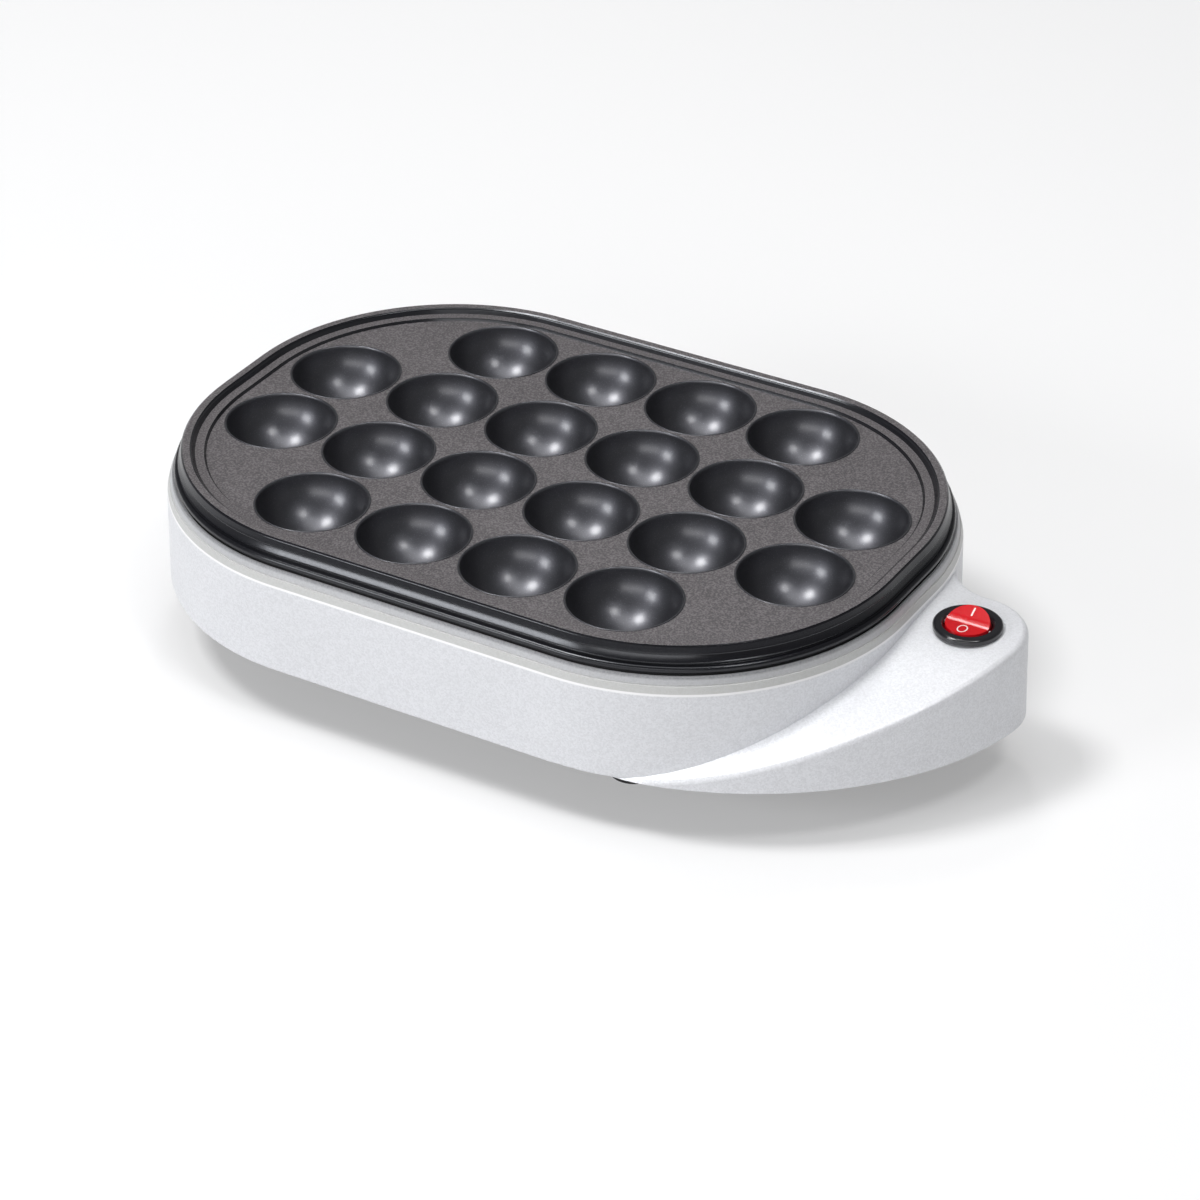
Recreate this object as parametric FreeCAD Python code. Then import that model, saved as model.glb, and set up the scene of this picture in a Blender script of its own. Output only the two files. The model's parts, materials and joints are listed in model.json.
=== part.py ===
import FreeCAD, Part
import math
import os

from FreeCAD import Vector as V

# Electric takoyaki maker. Millimetres, +Z up, origin on the ground under the middle of the bounding box.
# X runs from the far end of the body to the tip of the switch wing, -Y is the user's side.

# ---- cooking plate -------------------------------------------------------------------------
PITCH_X = 42.0                     # well spacing along a row
PITCH_Y = 42.0                     # spacing of the rows
ROW_WELLS = (4, 6, 6, 4)           # wells in each row, front to back
WELL_MOUTH_R = 20.0
WELL_DEPTH = 18.0
WELL_WALL = 2.5
WEB = 3.0                          # thickness of the flat floor between the wells
RIM_LENGTH = 273.5                 # over the top edge of the plate's rim
RIM_WIDTH = 187.0
RIM_CORNER_R = 81.0
RIM_RISE = 2.7                     # rim top above the wells' floor
RIM_LAND = 3.2                     # flat width on top of the rim
LEDGE_RISE = 0.9                   # small ledge round the floor
LEDGE_OUT = 5.0                    # ledge edges, measured inward from the rim
LEDGE_IN = 9.0
BEAD_OUT = 2.85                    # how far the plate's bead stands outside the rim top
BEAD_DROP = 6.6                    # underside of the bead below the floor
SKIRT_IN = 1.5                     # locating skirt of the plate, inward from the rim
SKIRT_WALL = 3.0
SKIRT_DROP = 12.0

# ---- housing shell -------------------------------------------------------------------------
SHELL_WALL = 2.4
FLARE = 6.5                        # outside of the wall's foot beyond the rim top edge
WALL_DRAFT = 0.8                   # the wall's top edge lies this much further in
WALL_HEIGHT = 33.5
SHOULDER_RISE = 6.6                # wall top edge up to the lip
TIER_STEP = 0.6                    # small step between the shoulder's two slopes
TIER_LEDGE = 0.4
TIER_LOWER_RISE = 3.4
TIER_SLOPE = 0.9                   # each slope leans in by this much
LIP_SEAT = 1.0                     # sunk seat for the seal inside the lip
LIP_WIDTH = 0.7
OPENING_IN = 0.5                   # mouth of the shell, inward from the rim top edge
LIP_THICK = 2.4
LIP_TO_FLOOR = 7.0                 # lip top below the wells' floor
GROUND_GAP = 22.2                  # foot of the wall above the ground
EDGE_R = 1.2                       # rounding where the wall meets the shoulder
WALL_FOOT_R = 0.8
BASE_BOSS_R = 4.0                  # pillars that take the base screws
BASE_BOSS_X = 48.0
BASE_BOSS_RISE = 22.0

# ---- wing with the switch ------------------------------------------------------------------
WING_REACH = 38.5                  # wing tip beyond the body's end
WING_START_X = 84.5                # lowest point of its front edge, back from the body's end
WING_START_IN = 1.1                # that point lies this much inside the body's straight side
WING_FIRST_R = 130.0
WING_FIRST_TURN = 55.0             # degrees turned on the first radius
WING_TIP_R = 22.4
WING_TIP_Y = -0.8
WING_FILLET_R = 18.0               # inside corner behind the wing
DECK_DROP = 14.5                   # deck below the wells' floor
DECK_R = 197.0                     # radius of the deck's fall towards the user
DECK_FALL_Y = 12.0                 # where the level deck begins to fall
DECK_EDGE_R = 2.0
WING_BOSS_OUT = 15.0               # base screw pillar near the tip, beyond the body's end
WING_BOSS_Y = -27.0
CORNER_BOSS_BACK = 18.0            # base screw pillar at the wing's root, back from the body's end
CORNER_BOSS_IN = 31.5              # and inward from the rim's side

# ---- base ----------------------------------------------------------------------------------
PAN_WALL = 2.4
PAN_RECESS = 1.9                   # flange of the pan above the foot of the wall
PAN_FIT = 0.4
TUB_IN = 16.0                      # tub wall inward from the rim top edge
FOOT_HEIGHT = 10.0
FOOT_R = 9.0
FOOT_TOP_R = 7.5
FOOT_X = 70.75                     # feet, inward from the rim's ends
FOOT_Y = 31.5                      # and from its sides
VENT_LENGTH = 34.0
VENT_WIDTH = 3.0
VENT_PITCH = 9.0
VENT_COUNT = 7
VENT_ROW_Y = 22.0

# ---- screws --------------------------------------------------------------------------------
SCREW_R = 1.5                      # small screws
SCREW_HEAD_R = 2.8
SCREW_HEAD = 2.0
POST_SCREW_R = 2.0
POST_SCREW_HEAD_R = 3.6
POST_SCREW_HEAD = 2.4
THREAD_FIT = 0.05

# ---- posts and shield ----------------------------------------------------------------------
POST_X = 44.75                     # posts, inward from the rim's ends
POST_Y = 38.5                      # and from its sides
POST_AF = 7.0                      # across flats
POST_STUD_R = 2.0
POST_STUD = 8.0
POST_BOSS_R = 5.0
WASHER = 1.0
WASHER_R = 5.5
SHIELD_GAP = 4.2                   # wells' undersides above the shield
SHIELD_WALL = 0.6
SHIELD_IN = 4.0
SHIELD_TOP_DROP = 13.0             # top edge of the shield below the wells' floor
WINDOW_X0 = 8.0                    # opening in the shield, from this far before the element's end
WINDOW_Y = 16.0
LEAD_HOLE_R = 4.0

# ---- heating element -----------------------------------------------------------------------
TUBE_R = 3.3
TUBE_DROP = 14.3                   # tube axis below the wells' floor
TUBE_END_Y = 12.0                  # the two ends face each other this far from the middle
PIN_R = 1.5
PIN_END_Y = 6.5
SEAL_R = 2.6
SEAL_IN = 3.0                      # ceramic inside the tube
SEAL_OUT = 1.8
TAB_Y = 7.5
TAB_WIDTH = 6.3
TAB_THICK = 0.8
TAB_DROP = 9.0
SADDLE_FIT = 0.05
CLAMP_X = 42.0
CLAMP_EAR = 8.6                    # screw off the tube's axis
CLAMP_WIDTH = 9.0
CLAMP_THICK = 1.0
BOSS_R = 3.4

# ---- thermostat, fuse and earth ------------------------------------------------------------
STAT_R = 8.0
STAT_HEIGHT = 9.0
STAT_FLANGE = 1.0
STAT_SCREW_X = 12.5
STAT_PAD_DROP = 12.0               # underside of its pad below the wells' floor
STAT_BLADE_DROP = 6.7              # top of the flat blades below the pad
STAT_BLADE_IN = 3.0
STAT_BLADE_OUT = 13.0
FUSE_X = 84.0
FUSE_R = 2.0
FUSE_SLEEVE = 0.5
FUSE_LENGTH = 22.0
FUSE_DROP = 15.3
FUSE_BOSS_Y = 9.0
FUSE_CLIP_WALL = 0.8
FUSE_CLIP_HALF = 3.4
EARTH_X = -42.0
TAG_R = 4.2
TAG_THICK = 0.8
TAG_LENGTH = 12.0

# ---- switch --------------------------------------------------------------------------------
SWITCH_OFF_END = 17.0              # switch axis beyond the body's end
BEZEL_R = 12.0
BEZEL_THICK = 2.0
SEAT_R = 12.8
SEAT_DROP = 0.4                    # bezel seat below the deck's highest level
CASE_R = 10.0
CASE_BORE_R = 8.3
CASE_DEPTH = 16.0
CASE_FIT = 0.2
SNAP_OUT = 0.9
SNAP_DROP = 3.5                    # top of the snap ears below the seat
ROCKER_R = 8.0
ROCKER_TOP = 1.8                   # middle of the rocker's dished face above the pivot
ROCKER_BOTTOM = 3.2
VALLEY_R = 2.5                     # rounding where the two halves of the face meet
ROCKER_TILT = 13.5                 # degrees each side of level, and the rise of each half
PIVOT_R = 0.9
PIVOT_FIT = 0.05
STEM_R = 2.4
STEM_LENGTH = 6.5                  # below the pivot
PLUNGER_R = 1.2
PLUNGER_REACH = 8.3                # nose below the pivot
SLIDE_FIT = 0.1
SPRING_WIRE = 0.35
ARM_GAP = 0.35
ARM_LENGTH = 12.0
ARM_WIDTH = 4.0
ARM_THICK = 0.8
ARM_TILT = 7.0
TERMINAL_Y = 5.5
TERMINAL_WIDTH = 4.8
TERMINAL_THICK = 0.8
TERMINAL_BLADE = 8.0
SWITCH_FLOOR = 2.0

# ---- supply side ---------------------------------------------------------------------------
INLET_X = 40.0
INLET_R = 3.5                      # bore for the mains cord
BUSH_R = 4.6
BUSH_FLANGE_R = 5.6
BUSH_FLANGE = 1.6
BLOCK_X = 62.0
BLOCK_Y = 44.0
BLOCK_LENGTH = 38.0
BLOCK_WIDTH = 14.0
BLOCK_HEIGHT = 11.0
BLOCK_RISE = 4.0                   # standing on bosses above the tub's floor
BLOCK_SCREW_X = 16.0
POLE_PITCH = 7.0
POLE_COUNT = 4
POLE_RISE = 7.0                    # pole axis above the block's underside
POLE_R = 2.0
PINCH_R = 1.2
PINCH_Y = 3.2
WIRE_R = 1.2

# ---- levels and places that follow ---------------------------------------------------------
LIP_Z = GROUND_GAP + WALL_HEIGHT + SHOULDER_RISE
WALL_TOP_Z = GROUND_GAP + WALL_HEIGHT
FLOOR_Z = LIP_Z + LIP_TO_FLOOR
WEB_Z = FLOOR_Z - WEB
WELL_SPHERE_R = (WELL_MOUTH_R ** 2 + WELL_DEPTH ** 2) / (2 * WELL_DEPTH)
WELL_CENTRE_Z = FLOOR_Z - WELL_DEPTH + WELL_SPHERE_R
WELL_BOTTOM_Z = FLOOR_Z - WELL_DEPTH - WELL_WALL
SEAL_Z = LIP_Z - LIP_SEAT
PAN_FLANGE_Z = GROUND_GAP + PAN_RECESS
PAN_TOP_Z = PAN_FLANGE_Z + PAN_WALL
PAN_FLOOR_Z = FOOT_HEIGHT + PAN_WALL
INLET_Z = (PAN_FLOOR_Z + PAN_FLANGE_Z) / 2
BLOCK_Z = PAN_FLOOR_Z + BLOCK_RISE
POLE_Z = BLOCK_Z + POLE_RISE
TUBE_Z = FLOOR_Z - TUBE_DROP
STAT_Z = FLOOR_Z - STAT_PAD_DROP
FUSE_Z = FLOOR_Z - FUSE_DROP
FUSE_EAR_Z = FUSE_Z + FUSE_R + FUSE_SLEEVE
SHIELD_Z = WELL_BOTTOM_Z - SHIELD_GAP - SHIELD_WALL
DECK_Z = FLOOR_Z - DECK_DROP
SEAT_Z = DECK_Z - SEAT_DROP
BEZEL_Z = SEAT_Z + BEZEL_THICK
PIVOT_Z = BEZEL_Z - ROCKER_TOP
CASE_FLOOR_Z = SEAT_Z - CASE_DEPTH
BODY_HALF_X = RIM_LENGTH / 2 + FLARE
PLATE_X = -WING_REACH / 2
SWITCH_X = PLATE_X + BODY_HALF_X + SWITCH_OFF_END
ARM_Z = PIVOT_Z - PLUNGER_REACH - ARM_GAP - ARM_THICK / 2


# ---- drawing helpers -----------------------------------------------------------------------
def arc(centre, radius, start, end, z):
    """Arc in the XY plane between two angles in degrees, drawn from start to end."""
    mid = (start + end) / 2
    points = [V(centre[0] + radius * math.cos(math.radians(a)),
                centre[1] + radius * math.sin(math.radians(a)), z) for a in (start, mid, end)]
    return Part.Arc(*points).toShape()


def line(a, b):
    return Part.LineSegment(V(*a), V(*b)).toShape()


def corner_centres(half_x, half_y):
    """Axes of the four corners of the body, with each corner's start angle, anticlockwise."""
    x, y = half_x - RIM_CORNER_R, half_y - RIM_CORNER_R
    places = [(x, y), (-x, y), (-x, -y), (x, -y)]
    return [((PLATE_X + px, py), 90 * i) for i, (px, py) in enumerate(places)]


def body_wire(out, z):
    """The body's rounded outline, a given distance outside the rim's top edge."""
    radius = RIM_CORNER_R + out
    arcs = [arc(c, radius, a, a + 90, z) for c, a in corner_centres(RIM_LENGTH / 2, RIM_WIDTH / 2)]
    edges = []
    for here, there in zip(arcs, arcs[1:] + arcs[:1]):
        edges += [here, Part.LineSegment(here.lastVertex().Point, there.firstVertex().Point).toShape()]
    return Part.Wire(edges)


def loft(lower, upper):
    return Part.makeLoft([lower, upper], True, True)


def body_solid(levels):
    """Stack of slopes through (distance outside the rim, height) pairs, lowest first."""
    parts = [loft(body_wire(*a), body_wire(*b)) for a, b in zip(levels, levels[1:])]
    solid = parts[0]
    for part in parts[1:]:
        solid = solid.fuse(part)
    return solid.removeSplitter()


def carry_round(profile):
    """Carry a closed section round the body. It is drawn as (distance outside the rim, height) edges."""
    face = Part.Face(Part.Wire(Part.__sortEdges__(profile)))
    half_x, half_y = RIM_LENGTH / 2, RIM_WIDTH / 2
    solids = []
    for centre, angle in corner_centres(half_x, half_y):
        here = face.copy()
        here.translate(V(centre[0] + RIM_CORNER_R, centre[1], 0))
        here.rotate(V(*centre, 0), V(0, 0, 1), angle)
        solids.append(here.revolve(V(*centre, 0), V(0, 0, 1), 90))
    runs = [(half_x, -half_y + RIM_CORNER_R, 0, RIM_WIDTH - 2 * RIM_CORNER_R),
            (half_y, -half_x + RIM_CORNER_R, 90, RIM_LENGTH - 2 * RIM_CORNER_R),
            (half_x, -half_y + RIM_CORNER_R, 180, RIM_WIDTH - 2 * RIM_CORNER_R),
            (half_y, -half_x + RIM_CORNER_R, 270, RIM_LENGTH - 2 * RIM_CORNER_R)]
    for out, along, angle, length in runs:
        here = face.copy()
        here.translate(V(out, along, 0))
        bar = here.extrude(V(0, length, 0))
        bar.rotate(V(0, 0, 0), V(0, 0, 1), angle)
        bar.translate(V(PLATE_X, 0, 0))
        solids.append(bar)
    ring = solids[0].multiFuse(solids[1:])
    return ring.removeSplitter()


def section(points):
    """Edges of a closed polygon given as (distance outside the rim, height)."""
    corners = [V(out, 0, z) for out, z in points]
    return [Part.LineSegment(a, b).toShape() for a, b in zip(corners, corners[1:] + corners[:1])]


def cylinder(x, y, z0, z1, radius):
    return Part.makeCylinder(radius, z1 - z0, V(x, y, z0))


def box(x0, x1, y0, y1, z0, z1):
    return Part.makeBox(x1 - x0, y1 - y0, z1 - z0, V(x0, y0, z0))


def four_places(end_in, side_in):
    """Four places, each so far inward from the rim's end and side."""
    x, y = RIM_LENGTH / 2 - end_in, RIM_WIDTH / 2 - side_in
    return [(PLATE_X + sx * x, sy * y) for sx in (-1, 1) for sy in (-1, 1)]


def at_posts():
    return four_places(POST_X, POST_Y)


def at_feet():
    return four_places(FOOT_X, FOOT_Y)


def at_clamps():
    return [(PLATE_X + sx * CLAMP_X, sy * PITCH_Y) for sx in (-1, 1) for sy in (-1, 1)]


def screw_up(x, y, seat_z, length, radius=SCREW_R, head_r=SCREW_HEAD_R, head=SCREW_HEAD):
    """Screw driven upwards: its head hangs below the seat."""
    shank = cylinder(x, y, seat_z - head, seat_z + length, radius)
    pan = cylinder(x, y, seat_z - head, seat_z, head_r)
    pan = pan.makeFillet(head * 0.45, level_edges(pan, seat_z - head))
    reach = head_r * 0.6
    drive = box(x - reach, x + reach, y - 0.35, y + 0.35, seat_z - head - 1, seat_z - head * 0.55)
    cross = drive.copy()
    cross.rotate(V(x, y, 0), V(0, 0, 1), 90)
    return shank.fuse(pan).cut(drive.fuse(cross)).removeSplitter()


def group(shapes):
    return Part.makeCompound(shapes)


# ---- cooking plate -------------------------------------------------------------------------
def well_centres():
    centres = []
    for row, count in enumerate(ROW_WELLS):
        y = (row - (len(ROW_WELLS) - 1) / 2) * PITCH_Y
        centres += [(PLATE_X + (i - (count - 1) / 2) * PITCH_X, y) for i in range(count)]
    return centres


def rim_section():
    """Section of the rim: ledge, land, outer wall with its cove, groove and bead, and the skirt."""
    z = FLOOR_Z
    top = z + RIM_RISE
    cove = Part.Arc(V(0.6, 0, z), V(0.55, 0, z - 1.6), V(1.5, 0, z - 2.8)).toShape()
    bead_top, bead_bottom = z - 4.1, z - BEAD_DROP
    bead = Part.Arc(V(1.2, 0, bead_top), V(BEAD_OUT, 0, (bead_top + bead_bottom) / 2),
                    V(2.2, 0, bead_bottom)).toShape()
    inner = -LEDGE_IN - 2.0
    skirt_out, skirt_in = -SKIRT_IN, -SKIRT_IN - SKIRT_WALL
    before = [(inner, z), (-LEDGE_IN, z), (-LEDGE_IN + 0.8, z + LEDGE_RISE), (-LEDGE_OUT, z + LEDGE_RISE),
              (-RIM_LAND - 0.5, top - 0.4), (-RIM_LAND, top), (-0.6, top), (0.0, top - 0.6), (0.6, z)]
    between = [(1.5, z - 2.8), (1.0, z - 3.1), (1.0, z - 3.9), (1.2, bead_top)]
    after = [(2.2, bead_bottom), (skirt_out, bead_bottom), (skirt_out, z - SKIRT_DROP),
             (skirt_in, z - SKIRT_DROP), (skirt_in, z - WEB - 1.0), (inner, z - WEB), (inner, z)]
    edges = [cove, bead]
    for run in (before, between, after):
        edges += [line((a[0], 0, a[1]), (b[0], 0, b[1])) for a, b in zip(run, run[1:])]
    return edges


def saddle(x, y):
    """Cast saddle over the element, with a boss for each clamp screw."""
    rib = box(x - CLAMP_WIDTH / 2, x + CLAMP_WIDTH / 2, y - CLAMP_EAR, y + CLAMP_EAR, TUBE_Z, WEB_Z + 0.5)
    bosses = [cylinder(x, y + s * CLAMP_EAR, TUBE_Z, WEB_Z + 0.5, BOSS_R) for s in (-1, 1)]
    start = V(x - CLAMP_WIDTH / 2 - 1, y, TUBE_Z)
    groove = Part.makeCylinder(TUBE_R + SADDLE_FIT, CLAMP_WIDTH + 2, start, V(1, 0, 0))
    return rib.multiFuse(bosses).cut(groove)


def grill_plate():
    web = loft(body_wire(-LEDGE_IN - 1.0, WEB_Z), body_wire(-LEDGE_IN - 1.0, FLOOR_Z))
    cups = [Part.makeSphere(WELL_SPHERE_R + WELL_WALL, V(x, y, WELL_CENTRE_Z)) for x, y in well_centres()]
    below = box(PLATE_X - RIM_LENGTH, PLATE_X + RIM_LENGTH, -RIM_WIDTH, RIM_WIDTH, 0, WEB_Z + 1.0)
    cups = [cup.common(below) for cup in cups]
    posts = [cylinder(x, y, post_boss_z(), WEB_Z + 0.5, POST_BOSS_R) for x, y in at_posts()]
    saddles = [saddle(x, y) for x, y in at_clamps()]
    pad = [cylinder(PLATE_X, 0, STAT_Z, WEB_Z + 0.5, STAT_R)]
    pad += [cylinder(PLATE_X + s * STAT_SCREW_X, 0, STAT_Z, WEB_Z + 0.5, BOSS_R) for s in (-1, 1)]
    fuse_x = PLATE_X + FUSE_X
    extra = [cylinder(fuse_x, FUSE_BOSS_Y, FUSE_EAR_Z, WEB_Z + 0.5, BOSS_R),
             box(fuse_x - BOSS_R, fuse_x + BOSS_R, -FUSE_R, FUSE_BOSS_Y, FUSE_EAR_Z, WEB_Z + 0.5),
             cylinder(PLATE_X + EARTH_X, 0, STAT_Z, WEB_Z + 0.5, BOSS_R)]
    plate = web.multiFuse([carry_round(rim_section())] + cups + posts + saddles + pad + extra)
    hollows = [Part.makeSphere(WELL_SPHERE_R, V(x, y, WELL_CENTRE_Z)) for x, y in well_centres()]
    deep = post_boss_z() + POST_STUD + 1
    holes = [cylinder(x, y, 0, deep, POST_STUD_R + THREAD_FIT) for x, y in at_posts()]
    small = [(x, y + s * CLAMP_EAR) for x, y in at_clamps() for s in (-1, 1)]
    small += [(PLATE_X + s * STAT_SCREW_X, 0) for s in (-1, 1)]
    small += [(fuse_x, FUSE_BOSS_Y), (PLATE_X + EARTH_X, 0)]
    holes += [cylinder(x, y, 0, WEB_Z - 0.8, SCREW_R + THREAD_FIT) for x, y in small]
    return plate.cut(hollows).cut(holes).removeSplitter()


def post_boss_z():
    return SHIELD_Z + SHIELD_WALL + WASHER


# ---- heating element -----------------------------------------------------------------------
def tube_path():
    """Two legs between the rows, across the far end, and back towards each other at the wing end."""
    cross = PITCH_X * 2.5 + PITCH_Y / 2
    far = line((PLATE_X - cross, PITCH_Y / 2, TUBE_Z), (PLATE_X - cross, -PITCH_Y / 2, TUBE_Z))
    return Part.Wire(Part.__sortEdges__(tube_half(1) + tube_half(-1) + [far]))


def tube_half(s):
    """One side of the element, s = 1 behind and -1 in front."""
    leg, turn = s * PITCH_Y, PITCH_Y / 2
    x0, x1 = PLATE_X - PITCH_X * 2.5, PLATE_X + PITCH_X * 2.5
    k = turn * math.sqrt(0.5)
    z = TUBE_Z
    far_turn = Part.Arc(V(x0 - turn, s * turn, z), V(x0 - k, s * (turn + k), z), V(x0, leg, z)).toShape()
    near_turn = Part.Arc(V(x1, leg, z), V(x1 + k, s * (turn + k), z), V(x1 + turn, s * turn, z)).toShape()
    return [far_turn, line((x0, leg, z), (x1, leg, z)), near_turn,
            line((x1 + turn, s * turn, z), (x1 + turn, s * TUBE_END_Y, z))]


def element_end_x():
    return PLATE_X + PITCH_X * 2.5 + PITCH_Y / 2


def rod_y(x, z, y0, y1, radius):
    """Round bar along Y between two places, in either order."""
    return Part.makeCylinder(radius, abs(y1 - y0), V(x, min(y0, y1), z), V(0, 1, 0))


def heating_element():
    x = element_end_x()
    ring = Part.Wire(Part.makeCircle(TUBE_R, V(x, -TUBE_END_Y, TUBE_Z), V(0, 1, 0)))
    tube = tube_path().makePipeShell([ring], True, False)
    return tube.cut([rod_y(x, TUBE_Z, s * TUBE_END_Y, s * (TUBE_END_Y + SEAL_IN), SEAL_R) for s in (-1, 1)])


def element_seals():
    x = element_end_x()
    beads = []
    for s in (-1, 1):
        bead = rod_y(x, TUBE_Z, s * (TUBE_END_Y - SEAL_OUT), s * (TUBE_END_Y + SEAL_IN), SEAL_R)
        beads.append(bead.cut(rod_y(x, TUBE_Z, s * PIN_END_Y, s * (TUBE_END_Y + SEAL_IN + 1), PIN_R)))
    return group(beads)


def element_pins():
    """Cold pins with a flat tab welded across each end."""
    x = element_end_x()
    pins = []
    for s in (-1, 1):
        pin = rod_y(x, TUBE_Z, s * PIN_END_Y, s * (TUBE_END_Y + SEAL_IN), PIN_R)
        tab = box(x - TAB_WIDTH / 2, x + TAB_WIDTH / 2, s * TAB_Y - TAB_THICK / 2, s * TAB_Y + TAB_THICK / 2,
                  TUBE_Z - TAB_DROP, TUBE_Z)
        pins.append(pin.fuse(tab).removeSplitter())
    return group(pins)


def element_clamp(x, y):
    """Steel strap under the tube, screwed to the saddle's two bosses."""
    z, t = TUBE_Z, CLAMP_THICK
    reach = CLAMP_EAR + BOSS_R
    ears = box(x - CLAMP_WIDTH / 2, x + CLAMP_WIDTH / 2, y - reach, y + reach, z - t, z)
    start = V(x - CLAMP_WIDTH / 2, y, z)
    loop = Part.makeCylinder(TUBE_R + SADDLE_FIT + t, CLAMP_WIDTH, start, V(1, 0, 0))
    lower = box(x - CLAMP_WIDTH, x + CLAMP_WIDTH, y - 20, y + 20, z - 20, z)
    bore = Part.makeCylinder(TUBE_R + SADDLE_FIT, CLAMP_WIDTH + 2, start - V(1, 0, 0), V(1, 0, 0))
    holes = [cylinder(x, y + s * CLAMP_EAR, z - 9, z + 9, SCREW_R + THREAD_FIT) for s in (-1, 1)]
    return ears.fuse(loop.common(lower)).cut([bore] + holes).removeSplitter()


def clamp_screws():
    seat = TUBE_Z - CLAMP_THICK
    return group([screw_up(x, y + s * CLAMP_EAR, seat, 7.0) for x, y in at_clamps() for s in (-1, 1)])


# ---- thermostat, fuse, earth ---------------------------------------------------------------
def thermostat():
    z, x = STAT_Z, PLATE_X
    cup = cylinder(x, 0, z - STAT_HEIGHT, z, STAT_R)
    flange = box(x - STAT_SCREW_X, x + STAT_SCREW_X, -BOSS_R, BOSS_R, z - STAT_FLANGE, z)
    ends = [cylinder(x + s * STAT_SCREW_X, 0, z - STAT_FLANGE, z, BOSS_R) for s in (-1, 1)]
    blade_z = z - STAT_BLADE_DROP
    half = TAB_WIDTH / 2
    blades = [box(x + a, x + b, -half, half, blade_z - TAB_THICK, blade_z)
              for a, b in ((-STAT_BLADE_OUT, -STAT_BLADE_IN), (STAT_BLADE_IN, STAT_BLADE_OUT))]
    holes = [cylinder(x + s * STAT_SCREW_X, 0, z - 3, z + 1, SCREW_R + THREAD_FIT) for s in (-1, 1)]
    return cup.multiFuse([flange] + ends + blades).cut(holes).removeSplitter()


def thermostat_screws():
    seat = STAT_Z - STAT_FLANGE
    return group([screw_up(PLATE_X + s * STAT_SCREW_X, 0, seat, 6.0) for s in (-1, 1)])


def fuse_bar(radius, extra=0.0):
    x0 = PLATE_X + FUSE_X - FUSE_LENGTH / 2 - extra
    return Part.makeCylinder(radius, FUSE_LENGTH + 2 * extra, V(x0, 0, FUSE_Z), V(1, 0, 0))


def thermal_fuse():
    caps = [Part.makeCylinder(0.6, 3.0, V(PLATE_X + FUSE_X + s * FUSE_LENGTH / 2, 0, FUSE_Z), V(s, 0, 0))
            for s in (-1, 1)]
    return fuse_bar(FUSE_R).multiFuse(caps)


def fuse_sleeve():
    return fuse_bar(FUSE_R + FUSE_SLEEVE).cut(fuse_bar(FUSE_R, 1.0))


def fuse_clip():
    """Strap that holds the sleeved fuse up against the plate's rib."""
    x, r = PLATE_X + FUSE_X - FUSE_CLIP_HALF, FUSE_R + FUSE_SLEEVE
    out = r + FUSE_CLIP_WALL
    end_y, under = FUSE_BOSS_Y + BOSS_R, FUSE_EAR_Z - FUSE_CLIP_WALL
    outer = Part.Arc(V(x, -out, FUSE_Z), V(x, 0, FUSE_Z - out), V(x, out, FUSE_Z)).toShape()
    inner = Part.Arc(V(x, r, FUSE_Z), V(x, 0, FUSE_Z - r), V(x, -r, FUSE_Z)).toShape()
    run = [(x, out, FUSE_Z), (x, out, under), (x, end_y, under), (x, end_y, FUSE_EAR_Z), (x, r, FUSE_EAR_Z),
           (x, r, FUSE_Z)]
    edges = [outer] + [line(a, b) for a, b in zip(run, run[1:])]
    edges += [inner, line((x, -r, FUSE_Z), (x, -out, FUSE_Z))]
    strap = Part.Face(Part.Wire(edges)).extrude(V(2 * FUSE_CLIP_HALF, 0, 0))
    hole = cylinder(PLATE_X + FUSE_X, FUSE_BOSS_Y, FUSE_Z, FUSE_EAR_Z + 1, SCREW_R + THREAD_FIT)
    return strap.cut(hole)


def fuse_screw():
    return screw_up(PLATE_X + FUSE_X, FUSE_BOSS_Y, FUSE_EAR_Z - FUSE_CLIP_WALL, 6.0)


def earth_tag():
    """Ring tag of the earth lead under its screw."""
    x, z = PLATE_X + EARTH_X, STAT_Z
    ring = cylinder(x, 0, z - TAG_THICK, z, TAG_R)
    tail = box(x - TAG_LENGTH, x, -2.2, 2.2, z - TAG_THICK, z)
    return ring.fuse(tail).cut(cylinder(x, 0, z - 2, z + 1, SCREW_R + THREAD_FIT)).removeSplitter()


def earth_screw():
    return screw_up(PLATE_X + EARTH_X, 0, STAT_Z - TAG_THICK, 7.0)


# ---- seal, shield and posts ----------------------------------------------------------------
def rim_seal():
    """Heat-proof seal between the plate's bead and the shell's lip."""
    return carry_round(section([(-OPENING_IN, SEAL_Z), (2.0, SEAL_Z), (2.0, FLOOR_Z - BEAD_DROP),
                                (-OPENING_IN, FLOOR_Z - BEAD_DROP)]))


def heat_shield():
    top = FLOOR_Z - SHIELD_TOP_DROP
    outer = loft(body_wire(-SHIELD_IN - 1.0, SHIELD_Z), body_wire(-SHIELD_IN, top))
    inner = loft(body_wire(-SHIELD_IN - 1.0 - SHIELD_WALL, SHIELD_Z + SHIELD_WALL),
                 body_wire(-SHIELD_IN - SHIELD_WALL, top + 0.01))
    tray = outer.cut(inner)
    cuts = [cylinder(x, y, 0, FLOOR_Z, POST_STUD_R + THREAD_FIT) for x, y in at_posts()]
    x0, x1 = element_end_x() - WINDOW_X0, PLATE_X + RIM_LENGTH / 2
    cuts.append(box(x0, x1, -WINDOW_Y, WINDOW_Y, SHIELD_Z - 1, FLOOR_Z))
    cuts += [cylinder(px, py, SHIELD_Z - 1, SHIELD_Z + 2, LEAD_HOLE_R) for px, py in lead_holes()]
    return tray.cut(cuts)


def lead_holes():
    """Holes in the shield for the leads of the earth tag and the thermostat."""
    return [(PLATE_X + EARTH_X - 9.0, 0), (PLATE_X - 28.0, -1.5)]


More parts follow.
